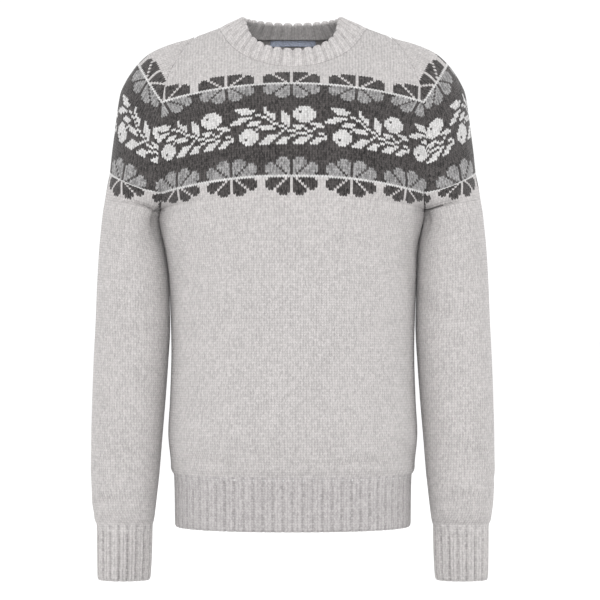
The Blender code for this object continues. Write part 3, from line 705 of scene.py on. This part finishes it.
def crease_depth(name, wales, rows, width):
    """How far the creases of a panel press its cloth in."""
    depth = np.zeros(wales.shape)
    for row, wale, long, wide, deep, turn, bow in CREASES[name]:
        x, y = (wales - wale) * width, (rows - row) * STITCH_TALL
        c, s = math.cos(math.radians(turn)), math.sin(math.radians(turn))
        along, off = x * c + y * s, y * c - x * s
        off = off + bow * along**2 / long * 0.25
        trough = swell(off, 0.0, wide) - 0.5 * swell(off, 2.1 * wide, 1.3 * wide)
        depth += deep * swell(along, 0.0, long) * trough
    return depth


def grid_mesh(name, columns, rows):
    """A flat grid of quads as a new mesh, with each vertex's column and row."""
    bm = bmesh.new()
    bmesh.ops.create_grid(bm, x_segments=columns, y_segments=rows, size=0.5)
    mesh = bpy.data.meshes.new(name)
    bm.to_mesh(mesh)
    bm.free()
    flat = np.empty(len(mesh.vertices) * 3)
    mesh.vertices.foreach_get("co", flat)
    flat = flat.reshape(-1, 3)
    column = np.rint((flat[:, 0] + 0.5) * columns).astype(int)
    row = np.rint((flat[:, 1] + 0.5) * rows).astype(int)
    corners = np.empty(len(mesh.loops), dtype=int)
    mesh.loops.foreach_get("vertex_index", corners)
    return mesh, column, row, corners


@contextmanager
def editing(mesh):
    """A bmesh of a mesh, written back after the edit."""
    bm = bmesh.new()
    bm.from_mesh(mesh)
    yield bm
    bm.to_mesh(mesh)
    bm.free()


def write_mesh(mesh, points, uv, corners, face_yarn):
    """Moves a mesh's vertices, and stores its stitch coordinates and each face's yarn at the corners."""
    mesh.vertices.foreach_set("co", points.astype(np.float32).ravel())
    layer = mesh.uv_layers.new(name="stitches")
    layer.uv.foreach_set("vector", uv[corners].astype(np.float32).ravel())
    attribute = mesh.attributes.new("yarn", "FLOAT", "CORNER")
    attribute.data.foreach_set("value", np.repeat(face_yarn, 4).astype(np.float32))


def knit_object(mesh, material, crisp=False):
    """A finished mesh as an object of its own name; crisp keeps its folded edges sharp."""
    mesh.shade_smooth()
    if crisp:
        mesh.set_sharp_from_angle(angle=math.radians(62.0))
    mesh.update()
    mesh.materials.append(material)
    obj = bpy.data.objects.new(mesh.name, mesh)
    bpy.context.scene.collection.objects.link(obj)
    return obj


def stands_for(obj, node, flat, held="hung"):
    """Puts a finished piece in the place of its plain node, which it hides; the size that it was cut to is
    rounded and then not used.
    """
    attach(obj, "root")
    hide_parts(node)
    flat = tuple(round(float(side), 4 if held == "stretched" else 3) for side in flat)


def knit_panel(panel, stitch, material):
    """One panel in stocking stitch: two legs to a stitch, each stitch its own yarn."""
    half_wales = panel.half_wales()
    per_wale = len(WALE_STITCHES)
    columns = (2 * half_wales + 1) * per_wale
    row_count = panel.last_row - panel.first_row
    mesh, column, row, corners = grid_mesh(panel.name + "_knit", columns, row_count)

    wales = (column - per_wale // 2) / per_wale - half_wales
    height, lean = WALE_STITCHES[column % per_wale].T
    up = row.astype(float)
    nominal = up + panel.first_row
    rows = np.clip(nominal + lean, panel.first_row, panel.last_row)
    outside = np.abs(panel.shares(wales, rows)) >= 1.0
    rows = np.where(outside, nominal, rows)
    shares = np.clip(panel.shares(wales, rows), -1.0, 1.0)
    if panel.top:
        outside |= rows >= panel.top(shares)
        for _ in range(3):
            rows = np.minimum(rows, panel.top(shares))
            shares = np.clip(panel.shares(wales, rows), -1.0, 1.0)
    rows = np.where(up == 0, panel.foot, rows)

    width = panel.stitch(rows)
    points, normals = panel.form.place(panel.body_rows(rows), shares)
    real_wales = np.where(outside, panel.wales_at(shares, rows), wales)
    uv = np.stack([real_wales, np.where(outside, rows, nominal)], axis=1)

    edge = (1.0 - np.abs(shares)) * panel.half_width(rows, shares)
    relief = stitch.relief * (height - 0.45) * np.clip(edge / 0.0015, 0.0, 1.0) * np.clip(up, 0.0, 1.0)
    dip = stitch.seam_dip * swell(edge, 0.0, 0.0022) - stitch.seam_ridge * swell(edge, 0.0055, 0.0032)
    fade = np.clip(edge / 0.02, 0.0, 1.0) * np.clip(up / 4.0, 0.0, 1.0)
    depth = crease_depth(panel.name, real_wales, nominal, width) * fade
    points = points + (relief - dip - depth)[:, None] * normals
    if panel.mirror:
        points = mirror_x(points)
    points = settle(points, bool(panel.top))

    def by_face(values):
        return values[corners].reshape(-1, 4)

    face_wale = by_face(column).min(axis=1) // per_wale - half_wales
    yarn = band_yarn(panel.name, face_wale, by_face(row).min(axis=1) + panel.first_row)
    write_mesh(mesh, points, uv, corners, yarn)

    spare = by_face(outside).all(axis=1)
    with editing(mesh) as bm:
        bm.faces.ensure_lookup_table()
        bmesh.ops.delete(bm, geom=[bm.faces[i] for i in np.flatnonzero(spare)], context="FACES")
        bmesh.ops.remove_doubles(bm, verts=bm.verts, dist=0.00005)
    area = float(by_face(width).mean(axis=1)[~spare].sum() / per_wale * STITCH_TALL)
    every_other = np.arange(panel.first_row, panel.last_row, 2.0)
    widest = (panel.half_width(every_other, -1) + panel.half_width(every_other, 1)).max()
    return knit_object(mesh, material), (widest, row_count * STITCH_TALL), area


def knit_nodes(context, nodes):
    """Knits the panels of these nodes in the body's yarns."""
    scene = context.scene
    knit = shared_material("wool_stocking_stitch", wool, scene.sweater_yarns, scene.sweater_yarns.light)
    for node in nodes:
        obj, flat, area = knit_panel(PANELS[node], scene.sweater_stitch, knit)
        stands_for(obj, node, flat)


def band_section(edge_row, top_row):
    """The rows of a ribbed band, up its outside from the folded edge and its inside: row, depth in walls."""
    outside = [(float(r), 0.0) for r in np.arange(math.ceil(edge_row + 1.0), math.floor(top_row) + 1)]
    fold = [(edge_row + 0.65, -1.0), (edge_row + 0.2, -0.78), (edge_row, -0.4), (edge_row + 0.25, -0.08)]
    inside = [(float(r), -1.0) for r in np.linspace(top_row - 0.4, edge_row + 3.0, 6)]
    return inside + fold + outside + [(top_row, 0.0), (top_row - 0.02, -0.5), inside[0]]


def scatter(number):
    """An uneven value from 0 to 1 for each whole number, the same at every run."""
    wave = np.sin(number * 12.9898) * 43758.5453
    return wave - np.floor(wave)


def rib_columns(ribs, column):
    """Share of the band, wale, height and lean of each column of a ribbed band."""
    kind = RIB_STITCHES[column % len(RIB_STITCHES)]
    rib = column // len(RIB_STITCHES)
    return (rib + kind[:, 0]) / ribs, rib * 3.0 + kind[:, 1], kind[:, 2], kind[:, 3]


def knit_band(name, ribs, section, place, deep, plain_rows, material, closed=False):
    """A ribbed band on a form; place gives points and normals for rows and shares of its way round."""
    columns = ribs * len(RIB_STITCHES)
    mesh, column, row, corners = grid_mesh(name, columns, len(section) - 1)
    share, wale, height, lean = rib_columns(ribs, column)
    rows, depth = np.array(section)[row].T
    outside = depth > -0.05
    low, high = rows.min(), rows.max()
    leans = outside & (rows > low + 1.0) & (rows < high - 1.0)
    points, normals = place(np.where(leans, rows + lean, rows), share)
    rib = (column // len(RIB_STITCHES)) % ribs
    uneven = 0.6 + 0.5 * scatter(rib) + 0.5 * np.abs(2.0 * share - 1.0)
    starts = np.clip((high - plain_rows - scatter(rib + 40.0) - rows) / 2.0, 0.0, 1.0)
    groove = deep * uneven * starts * (1.0 - height) * np.where(outside, 1.0, 1.0 + depth)
    points = points - (groove - depth * (deep + WALL))[:, None] * normals
    uv = np.stack([wale, rows + np.where(outside, 0.0, 0.5)], axis=1)

    face_columns = (column % len(RIB_STITCHES))[corners].reshape(-1, 4)
    face_rows = rows[corners].reshape(-1, 4)
    first_purl = (face_columns.min(axis=1) == 0) & (face_columns.max(axis=1) < len(RIB_STITCHES) - 1)
    first_purl &= (face_rows.min(axis=1) >= high - 2.1) & (face_rows.max(axis=1) <= high - 0.9)
    write_mesh(mesh, points, uv, corners, np.where(first_purl & (not closed), WHITE, LIGHT))
    with editing(mesh) as bm:
        bmesh.ops.remove_doubles(bm, verts=bm.verts, dist=0.00002)
        if not closed:
            bmesh.ops.holes_fill(bm, edges=[e for e in bm.edges if e.is_boundary], sides=0)
    return knit_object(mesh, material, crisp=True)


def hem_place(form, turn):
    """Where the rows of a hem rib lie, for shares of its width."""
    return lambda rows, shares: form.place(rows, np.clip((2.0 * shares - 1.0) * turn, -0.999, 0.999))


def cuff_place(side):
    """Where the rows of a cuff lie, for shares of its way round; side -1 is the left."""

    def place(rows, shares):
        points, normals = sleeve_form.place(rows, (2.0 * shares - 1.0) * side)
        return (points, normals) if side > 0 else (mirror_x(points), mirror_x(normals))

    return place


def neck_seam():
    """The whole neckline as a closed line, from the centre front round by +X."""
    shares = np.linspace(0.0, NECK_SHARE, 60)
    front = front_form.place(PANELS["front"].top(shares), shares)[0]
    back = back_form.place(PANELS["back"].top(shares), shares)[0]
    half = np.concatenate([front, back[-2::-1]])
    return np.concatenate([half, mirror_x(half[-2::-1])])


def collar_section():
    """Up the outside of the doubled collar and down its inside: share of its height, of its half, row."""
    outside = [
        (h, 0.52 + 0.55 * math.sin(0.5 * math.pi * min(1.0, h / 0.35)), COLLAR_ROWS * h)
        for h in np.linspace(0.0, 0.90, 11)
    ]
    fold = [(0.965, 0.80, 10.6), (1.0, 0.34, 11.0), (1.0, -0.34, 11.2), (0.965, -0.80, 11.6)]
    inside = [(h, -0.96, COLLAR_ROWS * (2.0 - h)) for h in np.linspace(0.90, 0.0, 11)]
    return np.array(outside + fold + inside)


def collar_rise(angle):
    """What the knitted collar's top gains on the plain one: reach, height."""
    inward = 0.0078 if angle > 0.0 else 0.0046
    return np.array((-inward * swell(abs(angle), 84.0, 24.0), 0.0024 * swell(abs(angle), 80.0, 20.0)))


def knit_collar(material):
    """The doubled collar as one closed band round the neckline, with its flat size."""
    section = collar_section()
    columns = COLLAR_RIBS * len(RIB_STITCHES)
    mesh, column, row, corners = grid_mesh("collar_knit", columns, len(section))
    share, wale, height, lean = rib_columns(COLLAR_RIBS, column)
    seam = neck_seam()
    foot_line = spaced(seam, share % 1.0)
    turns = np.arctan2(foot_line[:, 0], -foot_line[:, 1])
    reach, top_height = np.array([collar_top_at(abs(a)) + collar_rise(a) for a in np.degrees(turns)]).T
    top = np.stack([reach * np.sin(turns), -reach * np.cos(turns), top_height], axis=1)
    around = spaced(seam, (share + 0.004) % 1.0) - spaced(seam, (share - 0.004) % 1.0)
    up = unit(top - foot_line)
    out = unit(np.cross(around, up))
    foot = foot_line - 0.5 * WALL * out - COLLAR_LAP * up
    rise = np.linalg.norm(top - foot, axis=1)

    level, half, count = section[row % len(section)].T
    leans = (level > 0.04) & (level < 0.93)
    tall = level * rise + np.where(leans, lean * 0.0026, 0.0)
    across = np.abs(2.0 * ((share * COLLAR_RIBS) % 1.0) - 1.0)
    rounded = 0.72 * np.sqrt(np.maximum(1.0 - across**2, 0.0)) + 0.28 * height
    uneven = 0.85 + 0.3 * scatter(np.floor(share * COLLAR_RIBS + 0.5) % COLLAR_RIBS)
    hollow = (1.0 - rounded) * uneven * np.clip(level / 0.16, 0.0, 1.0)
    lower = COLLAR_TOP_DROP * hollow * np.clip((level - 0.6) / 0.4, 0.0, 1.0)
    thinner = np.sign(half) * np.where(level >= 0.99, COLLAR_FOLD_GROOVE, COLLAR_GROOVE) * hollow
    points = foot + (tall - lower)[:, None] * up + (half * COLLAR_HALF - thinner)[:, None] * out
    uv = np.stack([wale, count + np.where(row == len(section), 2.0 * COLLAR_ROWS, 0.0)], axis=1)
    write_mesh(mesh, points, uv, corners, np.full(len(corners) // 4, LIGHT))
    with editing(mesh) as bm:
        bmesh.ops.remove_doubles(bm, verts=bm.verts, dist=0.00002)
    return knit_object(mesh, material), (line_lengths(seam)[-1], rise.mean())


def weave_label(material):
    """The bare label, on the back's inside."""
    columns, rows = 32, 6
    mesh, column, row, corners = grid_mesh("neck_label_woven", columns, rows)
    across, up = column / columns, row / rows
    low_row, tall = LABEL_ROWS
    points, normals = back_form.place(low_row + up * tall, (across - 0.5) * LABEL_SHARE)
    edge = np.abs(across - 0.5) * 2.0
    points = points - (0.0016 + 0.0008 * (1.0 - edge**6))[:, None] * normals
    write_mesh(mesh, points, np.stack([across, up], axis=1), corners, np.full(len(corners) // 4, LIGHT))
    with editing(mesh) as bm:
        bmesh.ops.solidify(bm, geom=bm.faces, thickness=0.0009)
        bmesh.ops.recalc_face_normals(bm, faces=bm.faces)
    return knit_object(mesh, material)


class Value:
    """A value in a node tree, which plain arithmetic carries on into math nodes."""

    def __init__(self, socket, tree):
        self.socket, self.tree = socket, tree

    def __add__(self, other):
        return maths("ADD", self, other)

    def __sub__(self, other):
        return maths("SUBTRACT", self, other)

    def __rsub__(self, other):
        return maths("SUBTRACT", other, self)

    def __mul__(self, other):
        return maths("MULTIPLY", self, other)

    def __pow__(self, other):
        return maths("POWER", self, other)


def put(value, socket):
    """Links a value to an input, or sets the input to a number or colour."""
    if isinstance(value, Value):
        value.tree.links.new(value.socket, socket)
    else:
        socket.default_value = value


def add_node(tree, kind, inputs=None, **settings):
    """A node with its settings, and its inputs by name or number."""
    node = tree.nodes.new(kind)
    for key, value in settings.items():
        setattr(node, key, value)
    for key, value in (inputs or {}).items():
        put(value, node.inputs[key])
    return node


def read(tree, kind, output, inputs=None, **settings):
    """One output of a new node, as a value."""
    return Value(add_node(tree, kind, inputs, **settings).outputs[output], tree)


def maths(operation, *inputs, clamp=False):
    """A math node that reads values and numbers."""
    tree = next(value.tree for value in inputs if isinstance(value, Value))
    return read(tree, "ShaderNodeMath", 0, dict(enumerate(inputs)), operation=operation, use_clamp=clamp)


def lay_out(tree):
    """Puts each node in a column to the left of all that read it."""
    columns, filled = {}, {}

    def column(node):
        if node.name not in columns:
            readers = [link.to_node for output in node.outputs for link in output.links]
            columns[node.name] = 1 + max(map(column, readers), default=-1)
        return columns[node.name]

    for node in tree.nodes:
        place = filled[column(node)] = filled.get(column(node), -1) + 1
        node.location = (-220.0 * column(node), -200.0 * place)


def new_group(name, inputs, outputs):
    """A node group with named inputs of these kinds, and the nodes that its values come from and go to."""
    tree = bpy.data.node_groups.new(name, "ShaderNodeTree")
    for socket, kind in inputs.items():
        tree.interface.new_socket(name=socket, in_out="INPUT", socket_type=kind)
    for socket in outputs:
        tree.interface.new_socket(name=socket, in_out="OUTPUT", socket_type="NodeSocketFloat")
    into = add_node(tree, "NodeGroupInput")
    out = add_node(tree, "NodeGroupOutput")
    return tree, [Value(into.outputs[name], tree) for name in inputs], out


def stitch_group():
    """Height of the yarn in each stitch, the hollows between, which the wool darkens as painted shade, and each
    leg's own cast of tone.
    """
    inputs = {"Stitches": "NodeSocketVector", "Ply": "NodeSocketFloat"}
    tree, (stitches, ply), out = new_group("stitch_relief", inputs, ("Height", "Hollow", "Cast"))
    split = add_node(tree, "ShaderNodeSeparateXYZ", {0: stitches})
    wale, row = (Value(split.outputs[k], tree) for k in range(2))
    turn = wale * (2 * math.pi)
    leg = maths("ABSOLUTE", maths("SINE", turn))
    loop = maths("ABSOLUTE", maths("SINE", row * math.pi))
    body = leg**0.5 * loop**0.8
    strands = maths("SINE", (row * 3.2 + wale * 4.0) * (2 * math.pi))
    put(body + strands * ply, out.inputs["Height"])
    # Hollow is the mask of painted shade: the hollows between legs, and deeper still between wales
    between = ((1.0 - maths("COSINE", turn)) * 0.5) ** 6.0
    put(maths("SUBTRACT", 1.0, body, clamp=True) + between * 0.7, out.inputs["Hollow"])
    leg_cell = {0: maths("FLOOR", wale * 2.0), 1: maths("FLOOR", row)}
    cell = read(tree, "ShaderNodeCombineXYZ", 0, leg_cell)
    chance = read(tree, "ShaderNodeTexWhiteNoise", "Value", {"Vector": cell}, noise_dimensions="2D")
    put(chance - 0.5, out.inputs["Cast"])
    lay_out(tree)
    return tree


def fleece_group():
    """Loose fibres of brushed wool: a fine fuzz, flecks of paler and darker fibre, and slow changes of tone."""
    tree, (place,), out = new_group("brushed_fibres", {"Place": "NodeSocketVector"}, ("Fuzz", "Tone"))
    fuzz, flecks, slow = (
        read(tree, "ShaderNodeTexNoise", 0, {"Vector": place, "Scale": scale, "Detail": detail})
        for scale, detail in ((950.0, 3.0), (330.0, 3.0), (30.0, 2.0))
    )
    put(fuzz, out.inputs["Fuzz"])
    put(flecks * 0.55 + fuzz * 0.3 + slow * 0.15, out.inputs["Tone"])
    lay_out(tree)
    return tree


def shared_group(name, make):
    return bpy.data.node_groups.get(name) or make()


def shared_material(name, make, *values, **named):
    return bpy.data.materials.get(name) or make(name, *values, **named)


def new_material(name, inputs):
    """A material with plain values on its shader's sockets."""
    material = bpy.data.materials.new(name)
    material.use_nodes = True
    shader = material.node_tree.nodes["Principled BSDF"]
    for key, value in inputs.items():
        shader.inputs[key].default_value = value
    return material, material.node_tree, shader


def finish_cloth(tree, shader, colour, tone, height, strength, distance):
    """Feeds the shader a colour made darker or paler by its tone, which in the wool also carries painted shade
    and painted light, and the weave's height.
    """
    tint = read(tree, "ShaderNodeCombineColor", 0, dict.fromkeys(range(3), tone))
    shades = {0: 1.0, 6: colour, 7: tint}
    mixed = read(tree, "ShaderNodeMix", 2, shades, data_type="RGBA", blend_type="MULTIPLY")
    put(mixed, shader.inputs["Base Color"])
    relief = {"Strength": strength, "Distance": distance, "Height": height}
    put(read(tree, "ShaderNodeBump", 0, relief), shader.inputs["Normal"])
    lay_out(tree)


def wool(name, yarns, light, groove=0.0):
    """A brushed wool knit in the yarns of the piece's own attribute; groove sets the painted shade that darkens
    the grooves between ribs.
    """
    sheen = {"Roughness": 0.92, "Specular IOR Level": 0.18, "Sheen Weight": 0.22, "Sheen Roughness": 0.55}
    material, tree, shader = new_material(name, sheen)
    stitches = read(tree, "ShaderNodeUVMap", 0, uv_map="stitches")
    place = read(tree, "ShaderNodeTexCoord", "Object")
    relief = shared_group("stitch_relief", stitch_group)
    knit = add_node(tree, "ShaderNodeGroup", node_tree=relief)
    put(stitches, knit.inputs["Stitches"])
    knit.inputs["Ply"].default_value = PLY
    height, hollow, leg_cast = (Value(output, tree) for output in knit.outputs)
    fibres = add_node(tree, "ShaderNodeGroup", node_tree=shared_group("brushed_fibres", fleece_group))
    put(place, fibres.inputs["Place"])
    fuzz, flecks = (Value(output, tree) for output in fibres.outputs)

    yarn = read(tree, "ShaderNodeAttribute", "Fac", attribute_name="yarn")
    ramp = add_node(tree, "ShaderNodeValToRGB", {0: yarn * 0.25})
    ramp.color_ramp.interpolation = "CONSTANT"
    colours = (light, yarns.charcoal, yarns.grey, yarns.off_white)
    while len(ramp.color_ramp.elements) < len(colours):
        ramp.color_ramp.elements.new(1.0)
    for k, colour in enumerate(colours):
        ramp.color_ramp.elements[k].position = max(0.0, (k - 0.5) / 4.0)
        ramp.color_ramp.elements[k].color = (*colour, YARN_CONTRAST[k])

    contrast = Value(ramp.outputs["Alpha"], tree)
    # Painted shade: the hollows between stitches are darkened in the colour, more so in the darker yarns
    shade = hollow * ((contrast * 1.3 + 0.35) * -yarns.painted_hollow_shade)
    cast = leg_cast * contrast * yarns.cast
    marl = (flecks - 0.5) * ((contrast * 2.6 + 0.4) * yarns.fleck)
    # Painted light: faces seen from inside the sweater are made a tenth paler, in place of light reaching the
    # inside
    inside = read(tree, "ShaderNodeNewGeometry", "Backfacing")
    # tone holds the random fibre and leg tone, the painted shade of the hollows and the painted light of the
    # inside
    tone = shade + 1.0 + (marl + cast) + inside * 0.10
    # Painted shade: the grooves between ribs are darkened in the colour
    if groove:
        split = read(tree, "ShaderNodeSeparateXYZ", 0, {0: stitches})
        swing = maths("COSINE", split * (2 * math.pi / 3))
        tone = tone + ((swing + 1.0) * 0.5) ** 9.0 * -groove
    finish_cloth(tree, shader, Value(ramp.outputs[0], tree), tone, height * 0.6 + fuzz * 0.55, 0.7, 0.0007)
    return material


def label_cloth(name, colour):
    """A close satin weave, ribbed along its length."""
    material, tree, shader = new_material(name, {"Roughness": 0.55, "Sheen Weight": 0.15})
    place = read(tree, "ShaderNodeTexCoord", "Object")
    split = add_node(tree, "ShaderNodeSeparateXYZ", {0: place})
    warp = maths("SINE", Value(split.outputs[0], tree) * 9000.0)
    weft = maths("SINE", Value(split.outputs[2], tree) * 14000.0)
    weave = warp * weft
    noise = read(tree, "ShaderNodeTexNoise", 0, {"Vector": place, "Scale": 400.0, "Detail": 2.0})
    finish_cloth(tree, shader, (*colour, 1.0), weave * 0.08 + (noise + 0.5), weave, 0.4, 0.0002)
    return material


def colour_value(name, description, default):
    return FloatVectorProperty(
        name=name, description=description, subtype="COLOR", size=3, min=0.0, max=1.0, default=default,
    )


def factor_value(name, description, default, most=2.0):
    return FloatProperty(
        name=name, description=description, subtype="FACTOR", min=0.0, max=most, default=default,
    )


def depth_value(name, description, default, most=0.003):
    return FloatProperty(
        name=name, description=description, unit="LENGTH", subtype="DISTANCE",
        min=0.0, max=most, precision=5, default=default,
    )


def power_value(name, description, default):
    return FloatProperty(
        name=name, description=description, unit="POWER", subtype="POWER", min=0.0, default=default,
    )


class SweaterYarns(bpy.types.PropertyGroup):
    light: colour_value("Light", "Ground yarn of the body and sleeves", (0.487, 0.466, 0.461))
    # Painted shade: the same light yarn made darker for the hem ribs, standing in for the shade that falls on
    # them
    rib: colour_value("Rib", "Light yarn as it looks in the hem ribs", (0.430, 0.410, 0.409))
    charcoal: colour_value("Charcoal", "Ground yarn of the yoke band", (0.064, 0.058, 0.057))
    grey: colour_value("Grey", "Yarn of the petals inside the band", (0.285, 0.280, 0.280))
    off_white: colour_value("Off-white", "Yarn of the leaves, berries and lines", (0.560, 0.552, 0.548))
    label: colour_value("Label", "Woven label inside the back neck", (0.60, 0.66, 0.82))
    # Painted shade: strength of the darkening painted into the hollows between stitches
    painted_hollow_shade: factor_value("Hollow shade", "How much darker the hollows between stitches are", 0.28, 1.0)
    cast: factor_value("Cast", "How much the stitches' legs differ from each other in tone", 0.8)
    fleck: factor_value("Fleck", "Contrast of the paler and darker fibres", 0.55)


class SweaterStitch(bpy.types.PropertyGroup):
    relief: depth_value("Stitch relief", "Height of a stitch's legs over the hollow between wales", 0.00075)
    rib_depth: depth_value("Rib depth", "Depth of the groove between two ribs", 0.0015, 0.004)
    seam_dip: depth_value("Seam dip", "How far a panel turns in at its sewn edge", 0.0009)
    seam_ridge: depth_value("Seam ridge", "How far the cloth rises beside a seam", 0.0006)


class SweaterStage(bpy.types.PropertyGroup):
    key: power_value("Key light", "Power of the large light in front", 36.0)
    front: power_value("Front light", "Power of the light that looks into the neck", 38.0)
    fill: power_value("Side light", "Power of each light at the sides", 9.0)
    sky: FloatProperty(
        name="Surroundings", description="Brightness of the pale surroundings", min=0.0, default=1.08,
    )


class SWEATER_OT_body(bpy.types.Operator):
    """Knits the front and the back with their yoke band"""

    bl_idname = "sweater.body"
    bl_label = "Front and Back"
    bl_options = {"REGISTER", "UNDO"}

    def execute(self, context):
        knit_nodes(context, ("front", "back"))
        return {"FINISHED"}


class SWEATER_OT_sleeves(bpy.types.Operator):
    """Knits the two sleeves with their yoke band"""

    bl_idname = "sweater.sleeves"
    bl_label = "Sleeves"
    bl_options = {"REGISTER", "UNDO"}

    def execute(self, context):
        knit_nodes(context, ("sleeve_left", "sleeve_right"))
        return {"FINISHED"}


class SWEATER_OT_ribs(bpy.types.Operator):
    """Knits the hem ribs and the cuffs"""

    bl_idname = "sweater.ribs"
    bl_label = "Hem Ribs and Cuffs"
    bl_options = {"REGISTER", "UNDO"}

    def execute(self, context):
        yarns, depth = context.scene.sweater_yarns, context.scene.sweater_stitch.rib_depth
        # The hem ribs use the light yarn darkened as painted shade; each rib material also gets painted shade
        # in its grooves
        hem_wool = shared_material("wool_rib", wool, yarns, yarns.rib, groove=0.22)
        cuff_wool = shared_material("wool_cuff_rib", wool, yarns, yarns.light, groove=0.27)
        hem_section = band_section(HEM_EDGE, HEM_TOP)
        for node, form, turn in (("hem_rib_front", front_form, 1), ("hem_rib_back", back_form, -1)):
            place = hem_place(form, turn)
            obj = knit_band(node + "_knit", HEM_RIBS, hem_section, place, depth, 0.6, hem_wool)
            around = 2.0 * form.length(HEM_MIDDLE, 1)
            stands_for(obj, node, (around, (HEM_TOP - HEM_EDGE) * STITCH_TALL))
        cuff_section = band_section(CUFF_EDGE + 0.4, CUFF_TOP)
        around = sleeve_form.length(CUFF_MIDDLE, 1) + sleeve_form.length(CUFF_MIDDLE, -1)
        for node, side in (("cuff_left", -1), ("cuff_right", 1)):
            obj = knit_band(
                node + "_knit", CUFF_RIBS, cuff_section, cuff_place(side), 1.3 * depth, 1.6, cuff_wool,
                closed=True,
            )
            stands_for(obj, node, (around, (CUFF_TOP - CUFF_EDGE) * STITCH_TALL))
        return {"FINISHED"}


class SWEATER_OT_collar(bpy.types.Operator):
    """Knits the doubled collar and links it to the neckline"""

    bl_idname = "sweater.collar"
    bl_label = "Collar"
    bl_options = {"REGISTER", "UNDO"}

    def execute(self, context):
        yarns = context.scene.sweater_yarns
        # The collar gets a lighter painted shade in its rib grooves
        obj, flat = knit_collar(shared_material("wool_collar_rib", wool, yarns, yarns.light, groove=0.12))
        stands_for(obj, "collar", flat)
        return {"FINISHED"}


class SWEATER_OT_label(bpy.types.Operator):
    """Weaves the small bare label inside the back neck"""

    bl_idname = "sweater.label"
    bl_label = "Neck Label"
    bl_options = {"REGISTER", "UNDO"}

    def execute(self, context):
        obj = weave_label(shared_material("label_weave", label_cloth, context.scene.sweater_yarns.label))
        stands_for(obj, "neck_label", LABEL_FLAT, held="stretched")
        return {"FINISHED"}


def lay_floor(scene):
    bm = bmesh.new()
    bmesh.ops.create_grid(bm, x_segments=8, y_segments=8, size=30.0)
    bmesh.ops.translate(bm, vec=(0.0, 0.0, FLOOR_HEIGHT), verts=bm.verts)
    mesh = bpy.data.meshes.new("floor")
    bm.to_mesh(mesh)
    bm.free()
    pale = {"Base Color": (0.955, 0.955, 0.955, 1.0), "Roughness": 0.9}
    mesh.materials.append(new_material("pale_floor", pale)[0])
    floor = bpy.data.objects.new("floor", mesh)
    scene.collection.objects.link(floor)


def hang_lights(scene, values):
    """The pale surroundings, and soft round lights that face the sweater."""
    scene.world = scene.world or bpy.data.worlds.new("studio")
    scene.world.use_nodes = True
    nodes = scene.world.node_tree.nodes
    background = nodes.get("Background") or nodes.new("ShaderNodeBackground")
    background.inputs[0].default_value = (1.0, 1.0, 1.0, 1.0)
    background.inputs[1].default_value = values.sky
    lights = (
        ("key_light", (-0.8, -3.2, 1.9), 2.4, values.key),
        ("front_light", (0.4, -3.9, 0.25), 1.8, values.front),
        ("left_light", (-2.6, 0.2, 0.4), 2.0, values.fill),
        ("right_light", (2.6, 0.0, 0.3), 2.0, values.fill),
        ("back_light", (0.2, 2.8, 1.2), 2.2, values.fill),
    )
    for name, place, size, power in lights:
        light = bpy.data.lights.new(name, "AREA")
        light.shape = "DISK"
        light.size = size
        light.energy = power
        obj = bpy.data.objects.new(name, light)
        obj.location = place
        obj.rotation_euler = (Vector((0.0, 0.0, -0.33)) - Vector(place)).to_track_quat("-Z", "Y").to_euler()
        scene.collection.objects.link(obj)


def set_camera(scene):
    camera = bpy.data.cameras.new("camera")
    camera.sensor_width = SENSOR
    camera.lens = SENSOR * -CAMERA_PLACE[1] / VIEW_WIDTH
    camera.clip_start = 0.05
    camera.clip_end = 200.0
    obj = bpy.data.objects.new("camera", camera)
    obj.location = CAMERA_PLACE
    obj.rotation_euler = (math.radians(90.0), 0.0, 0.0)
    scene.collection.objects.link(obj)
    scene.camera = obj


class SWEATER_OT_stage(bpy.types.Operator):
    """Sets out the floor, the lights and the camera"""

    bl_idname = "sweater.stage"
    bl_label = "Floor, Lights and Camera"
    bl_options = {"REGISTER", "UNDO"}

    def execute(self, context):
        lay_floor(context.scene)
        hang_lights(context.scene, context.scene.sweater_stage)
        set_camera(context.scene)
        context.scene.view_settings.view_transform = "Standard"
        return {"FINISHED"}


OPERATORS = (
    SWEATER_OT_stage,
    SWEATER_OT_body,
    SWEATER_OT_sleeves,
    SWEATER_OT_ribs,
    SWEATER_OT_collar,
    SWEATER_OT_label,
)


class SWEATER_PT_panel(bpy.types.Panel):
    """Lists the sweater's pieces and values"""

    bl_idname = "SWEATER_PT_panel"
    bl_label = "Sweater"
    bl_space_type = "VIEW_3D"
    bl_region_type = "UI"
    bl_category = "Sweater"

    def draw(self, context):
        layout = self.layout
        scene = context.scene
        for group in (scene.sweater_yarns, scene.sweater_stitch, scene.sweater_stage):
            box = layout.box()
            for name in group.__annotations__:
                box.prop(group, name)
        for operator in OPERATORS:
            layout.operator(operator.bl_idname)


CLASSES = (SweaterYarns, SweaterStitch, SweaterStage, *OPERATORS, SWEATER_PT_panel)


def register():
    for cls in CLASSES:
        bpy.utils.register_class(cls)
    bpy.types.Scene.sweater_yarns = PointerProperty(type=SweaterYarns)
    bpy.types.Scene.sweater_stitch = PointerProperty(type=SweaterStitch)
    bpy.types.Scene.sweater_stage = PointerProperty(type=SweaterStage)


def unregister():
    del bpy.types.Scene.sweater_stage
    del bpy.types.Scene.sweater_stitch
    del bpy.types.Scene.sweater_yarns
    for cls in reversed(CLASSES):
        bpy.utils.unregister_class(cls)


def main():
    """Registers the add-on, sets out the stage and makes every piece."""
    register()
    bpy.ops.sweater.stage()
    bpy.ops.sweater.body()
    bpy.ops.sweater.sleeves()
    bpy.ops.sweater.ribs()
    bpy.ops.sweater.collar()
    bpy.ops.sweater.label()


if __name__ == "__main__":
    main()
